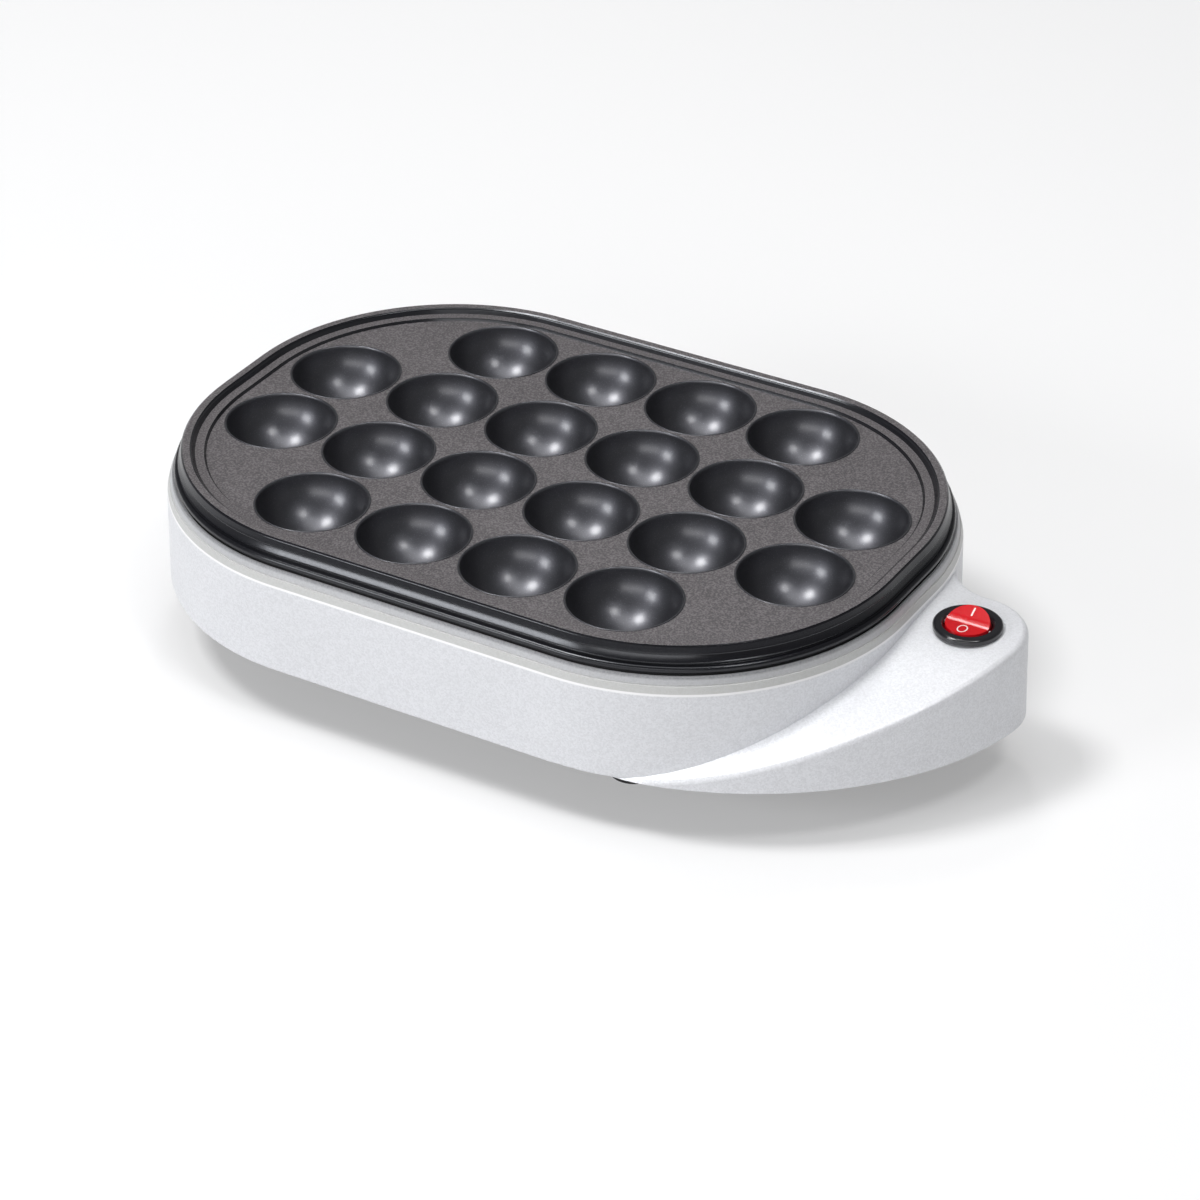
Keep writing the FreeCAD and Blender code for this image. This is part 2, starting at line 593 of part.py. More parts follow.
def hexagon(x, y, z0, z1, across):
    radius = across / 2 / math.cos(math.radians(30))
    turns = [math.radians(60 * i) for i in range(6)]
    corners = [V(x + radius * math.cos(a), y + radius * math.sin(a), z0) for a in turns]
    wire = Part.makePolygon(corners + corners[:1])
    return Part.Face(wire).extrude(V(0, 0, z1 - z0))


def mounting_post(x, y):
    top = SHIELD_Z - WASHER
    body = hexagon(x, y, PAN_FLOOR_Z, top, POST_AF)
    stud = cylinder(x, y, top, post_boss_z() + POST_STUD, POST_STUD_R)
    hole = cylinder(x, y, PAN_FLOOR_Z, PAN_FLOOR_Z + 12, POST_SCREW_R + THREAD_FIT)
    return body.fuse(stud).cut(hole).removeSplitter()


def post_washers():
    rings = []
    for x, y in at_posts():
        for z in (SHIELD_Z - WASHER, SHIELD_Z + SHIELD_WALL):
            hole = cylinder(x, y, z - 1, z + WASHER + 1, POST_STUD_R + THREAD_FIT)
            rings.append(cylinder(x, y, z, z + WASHER, WASHER_R).cut(hole))
    return group(rings)


def post_screws():
    size = (PAN_WALL + 8.0, POST_SCREW_R, POST_SCREW_HEAD_R, POST_SCREW_HEAD)
    return group([screw_up(x, y, FOOT_HEIGHT, *size) for x, y in at_posts()])


# ---- housing shell -------------------------------------------------------------------------
def wing_outline(out, z):
    """Plan of the wing, a given distance outside the rim's outline plus the flare."""
    foot = RIM_WIDTH / 2 + FLARE - WING_START_IN
    x0 = PLATE_X + BODY_HALF_X - WING_START_X
    first = (x0, -foot + WING_FIRST_R)
    tip = (PLATE_X + BODY_HALF_X + WING_REACH - WING_TIP_R, WING_TIP_Y)
    turn = math.radians(WING_FIRST_TURN - 90)
    ux, uy = math.cos(turn), math.sin(turn)
    dx, dy = first[0] - tip[0], first[1] - tip[1]
    along = dx * ux + dy * uy
    second_r = ((dx * dx + dy * dy + 2 * WING_FIRST_R * along + WING_FIRST_R ** 2 - WING_TIP_R ** 2)
                / (2 * (along + WING_FIRST_R - WING_TIP_R)))
    second = (first[0] + (WING_FIRST_R - second_r) * ux, first[1] + (WING_FIRST_R - second_r) * uy)
    meet = math.degrees(math.atan2(tip[1] - second[1], tip[0] - second[0]))
    corner = (PLATE_X + RIM_LENGTH / 2 - RIM_CORNER_R, RIM_WIDTH / 2 - RIM_CORNER_R)
    reach = RIM_CORNER_R + FLARE + WING_FILLET_R
    fillet_y = WING_TIP_Y + WING_TIP_R + WING_FILLET_R
    lean = math.asin((fillet_y - corner[1]) / reach)
    fillet = (corner[0] + reach * math.cos(lean), fillet_y)
    edges = [arc(first, WING_FIRST_R + out, -90, WING_FIRST_TURN - 90, z),
             arc(second, second_r + out, WING_FIRST_TURN - 90, meet, z),
             arc(tip, WING_TIP_R + out, meet, 90, z),
             arc(fillet, WING_FILLET_R - out, 270, 180 + math.degrees(lean), z)]
    points = [edge.lastVertex().Point for edge in edges]
    start = edges[0].firstVertex().Point
    back = V(x0, points[3].y, z)
    links = [Part.LineSegment(points[2], edges[3].firstVertex().Point).toShape(),
             Part.LineSegment(points[3], back).toShape(), Part.LineSegment(back, start).toShape()]
    return Part.Wire(edges[:3] + [links[0], edges[3]] + links[1:])


def deck_cutter(drop):
    """Everything above the wing's deck: level near the switch, then falling away towards the user."""
    z = DECK_Z - drop
    radius = DECK_R - drop
    far = 400.0
    end = math.radians(60)
    start = V(0, DECK_FALL_Y, z)
    mid = V(0, DECK_FALL_Y - radius * math.sin(end / 2), z - radius * (1 - math.cos(end / 2)))
    last = V(0, DECK_FALL_Y - radius * math.sin(end), z - radius * (1 - math.cos(end)))
    fall = Part.Arc(start, mid, last).toShape()
    corners = [last, V(0, -2 * far, last.z), V(0, -2 * far, far), V(0, far, far), V(0, far, z), start]
    edges = [fall] + [Part.LineSegment(a, b).toShape() for a, b in zip(corners, corners[1:])]
    block = Part.Face(Part.Wire(edges)).extrude(V(2 * far, 0, 0))
    block.translate(V(PLATE_X - far, 0, 0))
    return block


def wing_solid(inset, floor_z):
    """Outer form of the wing, or its hollow when inset by the wall."""
    wires = []
    for z in (floor_z, DECK_Z + 1.0):
        lean = WALL_DRAFT * (z - GROUND_GAP) / WALL_HEIGHT
        wires.append(wing_outline(-inset - lean, z))
    return loft(*wires).cut(deck_cutter(inset))


def is_outer_deck_edge(wing, edge):
    """True for an edge between the deck and the wing's outside wall."""
    faces = wing.ancestorsOfType(edge, Part.Face)
    top = [f for f in faces if f.Surface.TypeId == "Part::GeomCylinder" or f.BoundBox.ZMin > DECK_Z - 0.02]
    bounds = edge.BoundBox
    return len(top) == 1 and bounds.XMax - bounds.XMin > 0.5 and bounds.YMin < WING_TIP_Y + WING_TIP_R + 1


def level_edges(shape, z):
    return [e for e in shape.Edges if abs(e.BoundBox.ZMin - z) < 0.02 and abs(e.BoundBox.ZMax - z) < 0.02]


def wing_outer():
    wing = wing_solid(0.0, GROUND_GAP - 10.0)
    wing = wing.makeFillet(DECK_EDGE_R, [e for e in wing.Edges if is_outer_deck_edge(wing, e)])
    below = box(PLATE_X, PLATE_X + 2 * BODY_HALF_X, -RIM_WIDTH, RIM_WIDTH, 0, GROUND_GAP)
    return wing.cut(below)


def shell_outer():
    wall = FLARE - WALL_DRAFT
    step_z = WALL_TOP_Z + TIER_LOWER_RISE
    inner = wall - TIER_SLOPE
    levels = [(FLARE, GROUND_GAP), (wall, WALL_TOP_Z), (inner, step_z), (inner - TIER_LEDGE, step_z + 0.1),
              (inner - TIER_LEDGE, step_z + TIER_STEP), (inner - TIER_LEDGE - TIER_SLOPE, LIP_Z)]
    body = body_solid(levels)
    body = body.makeFillet(EDGE_R, level_edges(body, WALL_TOP_Z))
    return body.makeFillet(WALL_FOOT_R, level_edges(body, GROUND_GAP))


def shell_inner():
    t = SHELL_WALL
    wall = FLARE - WALL_DRAFT
    levels = [(FLARE - t, 0.0), (FLARE - t, GROUND_GAP), (wall - t, WALL_TOP_Z - 3.0),
              (wall - TIER_SLOPE - 2.2, LIP_Z - LIP_SEAT - LIP_THICK)]
    return body_solid(levels)


def boss_places():
    """Pillars in the shell that take the base screws."""
    side = RIM_WIDTH / 2 + FLARE - SHELL_WALL - BASE_BOSS_R + 0.8
    places = [(PLATE_X + sx * BASE_BOSS_X, sy * side) for sx in (-1, 1) for sy in (-1, 1)]
    end = PLATE_X - BODY_HALF_X + SHELL_WALL + BASE_BOSS_R - 0.8
    places.append((end, 0.0))
    near_end = PLATE_X + BODY_HALF_X
    return places + [(near_end + WING_BOSS_OUT, WING_BOSS_Y),
                     (near_end - CORNER_BOSS_BACK, CORNER_BOSS_IN - RIM_WIDTH / 2)]


def housing_shell():
    outer = shell_outer().fuse(wing_outer()).removeSplitter()
    hollow = shell_inner().fuse(wing_solid(SHELL_WALL, GROUND_GAP - 5.0))
    shell = outer.cut(hollow)
    mouth = loft(body_wire(-OPENING_IN, LIP_Z - 20), body_wire(-OPENING_IN, LIP_Z + 20))
    seat_out = FLARE - WALL_DRAFT - TIER_LEDGE - 2 * TIER_SLOPE - LIP_WIDTH
    seat = loft(body_wire(seat_out, SEAL_Z), body_wire(seat_out, LIP_Z + 20))
    boss_top = PAN_TOP_Z + BASE_BOSS_RISE
    pillars = [cylinder(x, y, PAN_TOP_Z, boss_top, BASE_BOSS_R) for x, y in boss_places()[:5]]
    for x, y in boss_places()[5:]:
        pillar = cylinder(x, y, PAN_TOP_Z, DECK_Z, BASE_BOSS_R).cut(deck_cutter(SHELL_WALL / 2))
        pillars.append(pillar)
    shell = shell.cut([mouth, seat]).multiFuse(pillars)
    holes = [cylinder(x, y, PAN_TOP_Z - 1, PAN_TOP_Z + 10, SCREW_R + THREAD_FIT) for x, y in boss_places()]
    holes.append(cylinder(SWITCH_X, 0, SEAT_Z - 20, DECK_Z + 9, CASE_R + CASE_FIT))
    holes.append(cylinder(SWITCH_X, 0, SEAT_Z, DECK_Z + 9, SEAT_R))
    return shell.cut(holes).removeSplitter()


# ---- base pan, feet ------------------------------------------------------------------------
def base_pan():
    inner_out = FLARE - SHELL_WALL - PAN_FIT
    plate = loft(body_wire(inner_out, PAN_FLANGE_Z), body_wire(inner_out, PAN_TOP_Z))
    fit = SHELL_WALL + PAN_FIT
    wing = loft(wing_outline(-fit, PAN_FLANGE_Z), wing_outline(-fit, PAN_TOP_Z)).cut(deck_cutter(fit))
    tub = loft(body_wire(-TUB_IN, FOOT_HEIGHT), body_wire(-TUB_IN, PAN_TOP_Z))
    inside = loft(body_wire(-TUB_IN - PAN_WALL, PAN_FLOOR_Z), body_wire(-TUB_IN - PAN_WALL, PAN_TOP_Z + 5))
    pan = plate.multiFuse([wing, tub]).cut(inside)
    holes = [cylinder(x, y, 0, PAN_TOP_Z + 5, SCREW_R + 0.3) for x, y in boss_places()]
    holes += [cylinder(x, y, 0, PAN_TOP_Z, POST_SCREW_R + 0.3) for x, y in at_posts()]
    holes += [cylinder(x, y, 0, PAN_TOP_Z, SCREW_R + THREAD_FIT) for x, y in at_feet()]
    low = PAN_FLOOR_Z - 1
    holes += [cylinder(x, y, low, low + 10, SCREW_R + THREAD_FIT) for x, y in block_screw_places()]
    holes += vents()
    wall_y = RIM_WIDTH / 2 - TUB_IN
    holes.append(rod_y(PLATE_X + INLET_X, INLET_Z, wall_y - 10, wall_y + 10, BUSH_R))
    bosses = [cylinder(x, y, PAN_FLOOR_Z - 1, BLOCK_Z, 3.5) for x, y in at_feet() + block_screw_places()]
    return pan.multiFuse(bosses).cut(holes).removeSplitter()


def vents():
    """Rows of slots through the tub's floor."""
    slots = []
    for row in (-1, 1):
        for i in range(VENT_COUNT):
            x = PLATE_X + (i - (VENT_COUNT - 1) / 2) * VENT_PITCH
            y = row * VENT_ROW_Y
            straight = box(x - VENT_WIDTH / 2, x + VENT_WIDTH / 2, y - VENT_LENGTH / 2 + VENT_WIDTH / 2,
                           y + VENT_LENGTH / 2 - VENT_WIDTH / 2, 0, PAN_FLOOR_Z + 1)
            ends = [cylinder(x, y + s * (VENT_LENGTH - VENT_WIDTH) / 2, 0, PAN_FLOOR_Z + 1, VENT_WIDTH / 2)
                    for s in (-1, 1)]
            slots.append(straight.multiFuse(ends))
    return slots


def foot(x, y):
    """Tapered rubber foot with a sunk screw."""
    cone = Part.makeCone(FOOT_TOP_R, FOOT_R, FOOT_HEIGHT, V(x, y, FOOT_HEIGHT), V(0, 0, -1))
    cone = cone.makeFillet(1.0, [e for e in cone.Edges if abs(e.BoundBox.ZMax) < 0.01])
    sink = cylinder(x, y, -1, FOOT_HEIGHT - 4.0, SCREW_HEAD_R + 0.4)
    return cone.cut([sink, cylinder(x, y, 0, FOOT_HEIGHT + 1, SCREW_R + THREAD_FIT)])


def foot_screws():
    return group([screw_up(x, y, FOOT_HEIGHT - 4.0, 9.0) for x, y in at_feet()])


def base_screws():
    return group([screw_up(x, y, PAN_FLANGE_Z, PAN_WALL + 7.0) for x, y in boss_places()])


# ---- supply side ---------------------------------------------------------------------------
def cord_inlet_bush():
    """Flanged bush in the tub's back wall, where the mains cord enters."""
    x, wall_out = PLATE_X + INLET_X, RIM_WIDTH / 2 - TUB_IN
    y0 = wall_out - PAN_WALL - BUSH_FLANGE
    body = Part.makeCylinder(BUSH_R, PAN_WALL + 2 * BUSH_FLANGE, V(x, y0, INLET_Z), V(0, 1, 0))
    inner = Part.makeCylinder(BUSH_FLANGE_R, BUSH_FLANGE, V(x, y0, INLET_Z), V(0, 1, 0))
    outer = Part.makeCylinder(BUSH_FLANGE_R, BUSH_FLANGE, V(x, wall_out, INLET_Z), V(0, 1, 0))
    bore = Part.makeCylinder(INLET_R, 30, V(x, y0 - 5, INLET_Z), V(0, 1, 0))
    return body.multiFuse([inner, outer]).cut(bore).removeSplitter()


def block_screw_places():
    return [(PLATE_X + BLOCK_X + s * BLOCK_SCREW_X, BLOCK_Y) for s in (-1, 1)]


def block_poles():
    """Middle of each of the block's poles."""
    return [PLATE_X + BLOCK_X + (i - (POLE_COUNT - 1) / 2) * POLE_PITCH for i in range(POLE_COUNT)]


def pinch_places():
    return [(x, BLOCK_Y + s * PINCH_Y) for x in block_poles() for s in (-1, 1)]


def terminal_block():
    x, z0 = PLATE_X + BLOCK_X, BLOCK_Z
    half, deep = BLOCK_LENGTH / 2, BLOCK_WIDTH / 2
    body = box(x - half, x + half, BLOCK_Y - deep, BLOCK_Y + deep, z0, z0 + BLOCK_HEIGHT)
    cuts = [cylinder(px, BLOCK_Y, z0 - 1, z0 + 20, SCREW_R + 0.2) for px, _ in block_screw_places()]
    cuts += [cylinder(px, BLOCK_Y, z0 + 4.0, z0 + 20, SCREW_HEAD_R + 0.3) for px, _ in block_screw_places()]
    cuts += [rod_y(px, POLE_Z, BLOCK_Y - BLOCK_WIDTH, BLOCK_Y + BLOCK_WIDTH, POLE_R) for px in block_poles()]
    cuts += [cylinder(px, py, POLE_Z, z0 + 20, PINCH_R + 0.3) for px, py in pinch_places()]
    return body.cut(cuts)


def block_inserts():
    """Brass sleeves of the poles, each tapped for two pinch screws."""
    half = BLOCK_WIDTH / 2 - 2.0
    tubes = []
    for px in block_poles():
        tube = rod_y(px, POLE_Z, BLOCK_Y - half, BLOCK_Y + half, POLE_R)
        taps = [cylinder(px, BLOCK_Y + s * PINCH_Y, POLE_Z, POLE_Z + 5, PINCH_R + THREAD_FIT)
                for s in (-1, 1)]
        tubes.append(tube.cut([rod_y(px, POLE_Z, BLOCK_Y - 9, BLOCK_Y + 9, WIRE_R)] + taps))
    return group(tubes)


def pinch_screws():
    screws = []
    for x, y in pinch_places():
        body = cylinder(x, y, POLE_Z + WIRE_R, POLE_Z + 3.2, PINCH_R)
        screws.append(body.cut(box(x - 2, x + 2, y - 0.25, y + 0.25, POLE_Z + 2.5, POLE_Z + 5)))
    return group(screws)


def block_screws():
    seat = BLOCK_Z + 4.0
    screws = []
    for x, y in block_screw_places():
        shank = cylinder(x, y, seat - 7.0, seat + 1, SCREW_R)
        head = cylinder(x, y, seat, seat + SCREW_HEAD, SCREW_HEAD_R)
        slot = box(x - 4, x + 4, y - 0.4, y + 0.4, seat + 1.2, seat + 9)
        screws.append(shank.fuse(head).cut(slot))
    return group(screws)


# ---- switch --------------------------------------------------------------------------------
def switch_case():
    """Bezel and barrel in one moulding, with two snap ears under the deck."""
    bezel = cylinder(SWITCH_X, 0, SEAT_Z, BEZEL_Z, BEZEL_R)
    top = [e for e in bezel.Edges if e.BoundBox.ZMin > BEZEL_Z - 0.01]
    bezel = bezel.makeFillet(0.9, top)
    barrel = cylinder(SWITCH_X, 0, CASE_FLOOR_Z, SEAT_Z + 0.5, CASE_R)
    ears = []
    for s in (-1, 1):
        wedge = Part.Face(Part.makePolygon([V(0, 0, 0), V(SNAP_OUT, 0, 0), V(0, 0, -5.0), V(0, 0, 0)]))
        ear = wedge.extrude(V(0, 4.0, 0))
        ear.translate(V(CASE_R - 0.05, -2.0, SEAT_Z - SNAP_DROP))
        ear.rotate(V(0, 0, 0), V(0, 0, 1), 90 - 90 * s + 90)
        ear.translate(V(SWITCH_X, 0, 0))
        ears.append(ear)
    bore = cylinder(SWITCH_X, 0, CASE_FLOOR_Z - 1, BEZEL_Z + 1, CASE_BORE_R)
    flare = Part.makeCone(CASE_BORE_R, CASE_BORE_R + 0.9, 0.9, V(SWITCH_X, 0, BEZEL_Z - 0.89))
    start = V(SWITCH_X - CASE_R + 0.5, 0, PIVOT_Z)
    pin = Part.makeCylinder(PIVOT_R + PIVOT_FIT, 2 * CASE_R - 1.0, start, V(1, 0, 0))
    return bezel.multiFuse([barrel] + ears).cut([bore, flare, pin]).removeSplitter()


def switch_base():
    """Insulating floor of the barrel, slotted for the terminals."""
    disc = cylinder(SWITCH_X, 0, CASE_FLOOR_Z, CASE_FLOOR_Z + SWITCH_FLOOR, CASE_BORE_R)
    return disc.cut([terminal_blade(y, CASE_FLOOR_Z + 9) for y in (-TERMINAL_Y, 0, TERMINAL_Y)])


def tilt(shape):
    """Turn a rocker piece from level to its OFF position."""
    shape = shape.copy()
    shape.rotate(V(SWITCH_X, 0, PIVOT_Z), V(1, 0, 0), ROCKER_TILT)
    return shape


def lamp_pocket(extra=0.0):
    return box(SWITCH_X - 4.0 - extra, SWITCH_X + 4.0 + extra, 1.7 - extra, 5.3 + extra,
               PIVOT_Z - ROCKER_BOTTOM - 1, PIVOT_Z + 0.8 + extra)


def switch_rocker():
    """Round rocker whose pressed half lies level, with a hollow stem below."""
    far, x0 = 2 * ROCKER_R, SWITCH_X - 2 * ROCKER_R
    low, middle = PIVOT_Z - ROCKER_BOTTOM, PIVOT_Z + ROCKER_TOP
    high = middle + far * math.tan(math.radians(ROCKER_TILT))
    corners = [V(x0, -far, low), V(x0, far, low), V(x0, far, high), V(x0, 0, middle), V(x0, -far, high)]
    keep = Part.Face(Part.makePolygon(corners + corners[:1])).extrude(V(2 * far, 0, 0))
    valley = [e for e in keep.Edges if abs(e.BoundBox.YMax) < 0.01 and abs(e.BoundBox.YMin) < 0.01]
    keep = keep.makeFillet(VALLEY_R, valley)
    ball = Part.makeSphere(ROCKER_R, V(SWITCH_X, 0, PIVOT_Z)).common(keep)
    stem = cylinder(SWITCH_X, 0, PIVOT_Z - STEM_LENGTH, PIVOT_Z - 1, STEM_R)
    pin = Part.makeCylinder(PIVOT_R, 30, V(SWITCH_X - 15, 0, PIVOT_Z), V(1, 0, 0))
    bore = cylinder(SWITCH_X, 0, PIVOT_Z - STEM_LENGTH - 1, PIVOT_Z - 1.6, PLUNGER_R + SLIDE_FIT)
    return tilt(ball.fuse(stem).cut([pin, bore, lamp_pocket()]).removeSplitter())


def rocker_pin():
    half = CASE_R - 0.6
    return tilt(Part.makeCylinder(PIVOT_R, 2 * half, V(SWITCH_X - half, 0, PIVOT_Z), V(1, 0, 0)))


def signal_lamp():
    """Small glass tube lamp under the rocker's face."""
    z = PIVOT_Z - 1.0
    glass = Part.makeCylinder(1.5, 6.0, V(SWITCH_X - 3.0, 3.5, z), V(1, 0, 0))
    wires = [Part.makeCylinder(0.25, 1.0, V(SWITCH_X + s * 3.0, 3.5, z), V(s, 0, 0)) for s in (-1, 1)]
    return tilt(glass.multiFuse(wires))


def switch_plunger():
    nose_z = PIVOT_Z - PLUNGER_REACH
    ball = Part.makeSphere(PLUNGER_R, V(SWITCH_X, 0, nose_z + PLUNGER_R))
    rod = cylinder(SWITCH_X, 0, nose_z + PLUNGER_R, nose_z + PLUNGER_R + 3.0, PLUNGER_R)
    return tilt(ball.fuse(rod).removeSplitter())


def plunger_spring():
    """Coil spring above the plunger, in the rocker's stem."""
    z0 = PIVOT_Z - PLUNGER_REACH + PLUNGER_R + 3.0
    z1 = PIVOT_Z - 1.6
    mean = PLUNGER_R - SPRING_WIRE / 2 - 0.1
    height = z1 - z0 - SPRING_WIRE
    helix = Part.makeHelix(height / 3.0, height, mean)
    foot_z = z0 + SPRING_WIRE / 2
    helix.translate(V(SWITCH_X, 0, foot_z))
    ring = Part.Wire(Part.makeCircle(SPRING_WIRE / 2, V(SWITCH_X + mean, 0, foot_z), V(0, 1, 0)))
    return tilt(Part.Wire(helix.Edges).makePipeShell([ring], True, True))


def contact_arm():
    """Copper seesaw under the plunger, tilted towards its open end."""
    under, x0 = ARM_Z - ARM_THICK / 2, SWITCH_X - ARM_WIDTH / 2
    bar = box(x0, x0 + ARM_WIDTH, -ARM_LENGTH / 2, ARM_LENGTH / 2, under, under + ARM_THICK)
    pad = cylinder(SWITCH_X, -TERMINAL_Y + 0.6, under - 0.5, ARM_Z, 1.2)
    keel = Part.makeCylinder(0.5, ARM_WIDTH, V(x0, 0, under), V(1, 0, 0))
    arm = bar.multiFuse([pad, keel]).removeSplitter()
    arm.rotate(V(SWITCH_X, 0, ARM_Z), V(1, 0, 0), -ARM_TILT)
    return arm


def terminal_blade(y, top):
    return box(SWITCH_X - TERMINAL_WIDTH / 2, SWITCH_X + TERMINAL_WIDTH / 2, y - TERMINAL_THICK / 2,
               y + TERMINAL_THICK / 2, CASE_FLOOR_Z - TERMINAL_BLADE, top)


def terminal_line():
    """Supply blade, forked at its top to carry the seesaw."""
    under = ARM_Z - ARM_THICK / 2
    blade = terminal_blade(0, under - 0.1)
    start = V(SWITCH_X - TERMINAL_WIDTH / 2 - 1, 0, under)
    return blade.cut(Part.makeCylinder(0.8, TERMINAL_WIDTH + 2, start, V(1, 0, 0)))


def terminal_load():
    """Load blade with the fixed contact under the arm's closing end."""
    drop = (TERMINAL_Y - 0.6) * math.sin(math.radians(ARM_TILT))
    contact_top = ARM_Z - ARM_THICK / 2 - 0.5 - drop - 0.3
    blade = terminal_blade(-TERMINAL_Y, contact_top - 1.0)
    button = cylinder(SWITCH_X, -TERMINAL_Y + 0.6, contact_top - 1.0, contact_top, 1.3)
    return blade.fuse(button).removeSplitter()


def terminal_lamp():
    return terminal_blade(TERMINAL_Y, CASE_FLOOR_Z + SWITCH_FLOOR + 1.0)


# ---- wiring --------------------------------------------------------------------------------
def wire_path(points):
    """Straight runs joined by arcs as large as their runs allow."""
    points = [V(*p) for p in points]
    edges, here = [], points[0]
    for before, corner, after in zip(points, points[1:], points[2:]):
        back, ahead = before - corner, after - corner
        shorter = min(back.Length, ahead.Length)
        back.normalize()
        ahead.normalize()
        half_turn = (math.pi - back.getAngle(ahead)) / 2
        setback = 0.45 * shorter
        radius = setback / math.tan(half_turn)
        enter, leave = corner + back * setback, corner + ahead * setback
        inward = back + ahead
        inward.normalize()
        centre = corner + inward * (radius / math.cos(half_turn))
        middle = centre - inward * radius
        edges.append(Part.LineSegment(here, enter).toShape())
        edges.append(Part.Arc(enter, middle, leave).toShape())
        here = leave
    edges.append(Part.LineSegment(here, points[-1]).toShape())
    return Part.Wire(edges)


def wire(points, radius=WIRE_R):
    path = wire_path(points)
    start = V(*points[0])
    ring = Part.Wire(Part.makeCircle(radius, start, V(*points[1]) - start))
    return path.makePipeShell([ring], True, False)


def switch_leads():
    """Leads from the block to the switch's supply and lamp blades, and to the element's back tab."""
    g, pole_y = PLATE_X, BLOCK_Y - BLOCK_WIDTH / 2 + 2.0
    earth, live, lamp, neutral = [px - g for px in block_poles()]
    blade_x = SWITCH_X - TERMINAL_WIDTH / 2 - g
    z = CASE_FLOOR_Z - TERMINAL_BLADE / 2
    tab_x, tab_z = element_end_x() - g, TUBE_Z - TAB_DROP
    return {
        "neutral_lead": [(neutral, pole_y, POLE_Z), (neutral, 32, 24), (88, 23, 30), (106, 14, 34),
                         (tab_x - 4, 9, 37), (tab_x, TAB_Y, tab_z - 4), (tab_x, TAB_Y, tab_z)],
        "lamp_lead": [(lamp, pole_y, POLE_Z), (lamp, 31, 23), (80, 20, 24.5), (104, 12, 28), (130, 7, 31.5),
                      (146, TERMINAL_Y, z), (blade_x, TERMINAL_Y, z)],
        "line_lead": [(live, pole_y, POLE_Z), (live, 30, 22), (74, 14, 23), (100, 4, 26.5), (130, 0.5, 31.5),
                      (146, 0, z), (blade_x, 0, z)],
        "earth_lead": [(earth, pole_y, POLE_Z), (earth, 29, 22), (40, 10, 24), (0, 6, 30), (-40, 4, 34),
                       (-50, 0.5, 38), (EARTH_X - 9, 0, 46), (EARTH_X - 9, 0, STAT_Z - TAG_THICK)],
    }


def load_leads():
    """Leads from the switch through the fuse and the thermostat to the element's front tab."""
    blade_x = SWITCH_X - TERMINAL_WIDTH / 2 - PLATE_X
    z = CASE_FLOOR_Z - TERMINAL_BLADE / 2
    tab_x, tab_z = element_end_x() - PLATE_X, TUBE_Z - TAB_DROP
    fuse_end = FUSE_LENGTH / 2 + 3.0
    stat_z = STAT_Z - STAT_BLADE_DROP - TAB_THICK / 2
    return {
        "load_lead": [(FUSE_X + fuse_end, 0, FUSE_Z), (FUSE_X + fuse_end + 6, 0, FUSE_Z), (114, -0.5, 52),
                      (122, -1, 44), (134, -4, 36), (146, -TERMINAL_Y, z), (blade_x, -TERMINAL_Y, z)],
        "fuse_lead": [(FUSE_X - fuse_end, 0, FUSE_Z), (FUSE_X - fuse_end - 6, 0, FUSE_Z), (50, 1, 52),
                      (32, -1, 51), (STAT_BLADE_OUT + 6, 0, stat_z), (STAT_BLADE_OUT, 0, stat_z)],
        "thermostat_lead": [(-STAT_BLADE_OUT, 0, stat_z), (-STAT_BLADE_OUT - 7, 0, stat_z), (-28, -1.5, 45),
                            (-29, -8, 37.5), (-10, -14, 36), (30, -16, 35.5), (75, -14, 36), (110, -10, 36),
                            (tab_x - 2, -TAB_Y - 0.4, 38), (tab_x, -TAB_Y, tab_z - 4),
                            (tab_x, -TAB_Y, tab_z)],
    }


def leads():
    routes = {**switch_leads(), **load_leads()}
    return {name: wire([(PLATE_X + x, y, z) for x, y, z in route]) for name, route in routes.items()}


# ---- writing the pieces --------------------------------------------------------------------
def all_nodes():
    nodes = {
        "grill_plate": grill_plate(),
        "rim_seal": rim_seal(),
        "heating_element": heating_element(),
        "element_seals": element_seals(),
        "element_pins": element_pins(),
        "clamp_screws": clamp_screws(),
        "thermostat": thermostat(),
        "thermostat_screws": thermostat_screws(),
        "thermal_fuse": thermal_fuse(),
        "fuse_sleeve": fuse_sleeve(),
        "fuse_clip": fuse_clip(),
        "fuse_screw": fuse_screw(),
        "earth_tag": earth_tag(),
        "earth_screw": earth_screw(),
        "heat_shield": heat_shield(),
        "post_washers": post_washers(),
        "post_screws": post_screws(),
        "housing_shell": housing_shell(),
        "base_pan": base_pan(),
        "base_screws": base_screws(),
        "foot_screws": foot_screws(),
        "cord_inlet_bush": cord_inlet_bush(),
        "terminal_block": terminal_block(),
        "block_inserts": block_inserts(),
        "block_screws": block_screws(),
        "pinch_screws": pinch_screws(),
        "switch_case": switch_case(),
        "switch_base": switch_base(),
        "switch_rocker": switch_rocker(),
        "rocker_pin": rocker_pin(),
        "signal_lamp": signal_lamp(),
        "switch_plunger": switch_plunger(),
        "plunger_spring": plunger_spring(),
        "contact_arm": contact_arm(),
        "terminal_line": terminal_line(),
        "terminal_load": terminal_load(),
        "terminal_lamp": terminal_lamp(),
    }
    corners = ("far_front", "far_back", "near_front", "near_back")
    for corner, place in zip(corners, at_clamps()):
        nodes["element_clamp_" + corner] = element_clamp(*place)
    for corner, place in zip(corners, at_posts()):
        nodes["mounting_post_" + corner] = mounting_post(*place)
    for corner, place in zip(corners, at_feet()):
        nodes["foot_" + corner] = foot(*place)
    nodes.update(leads())
    return nodes


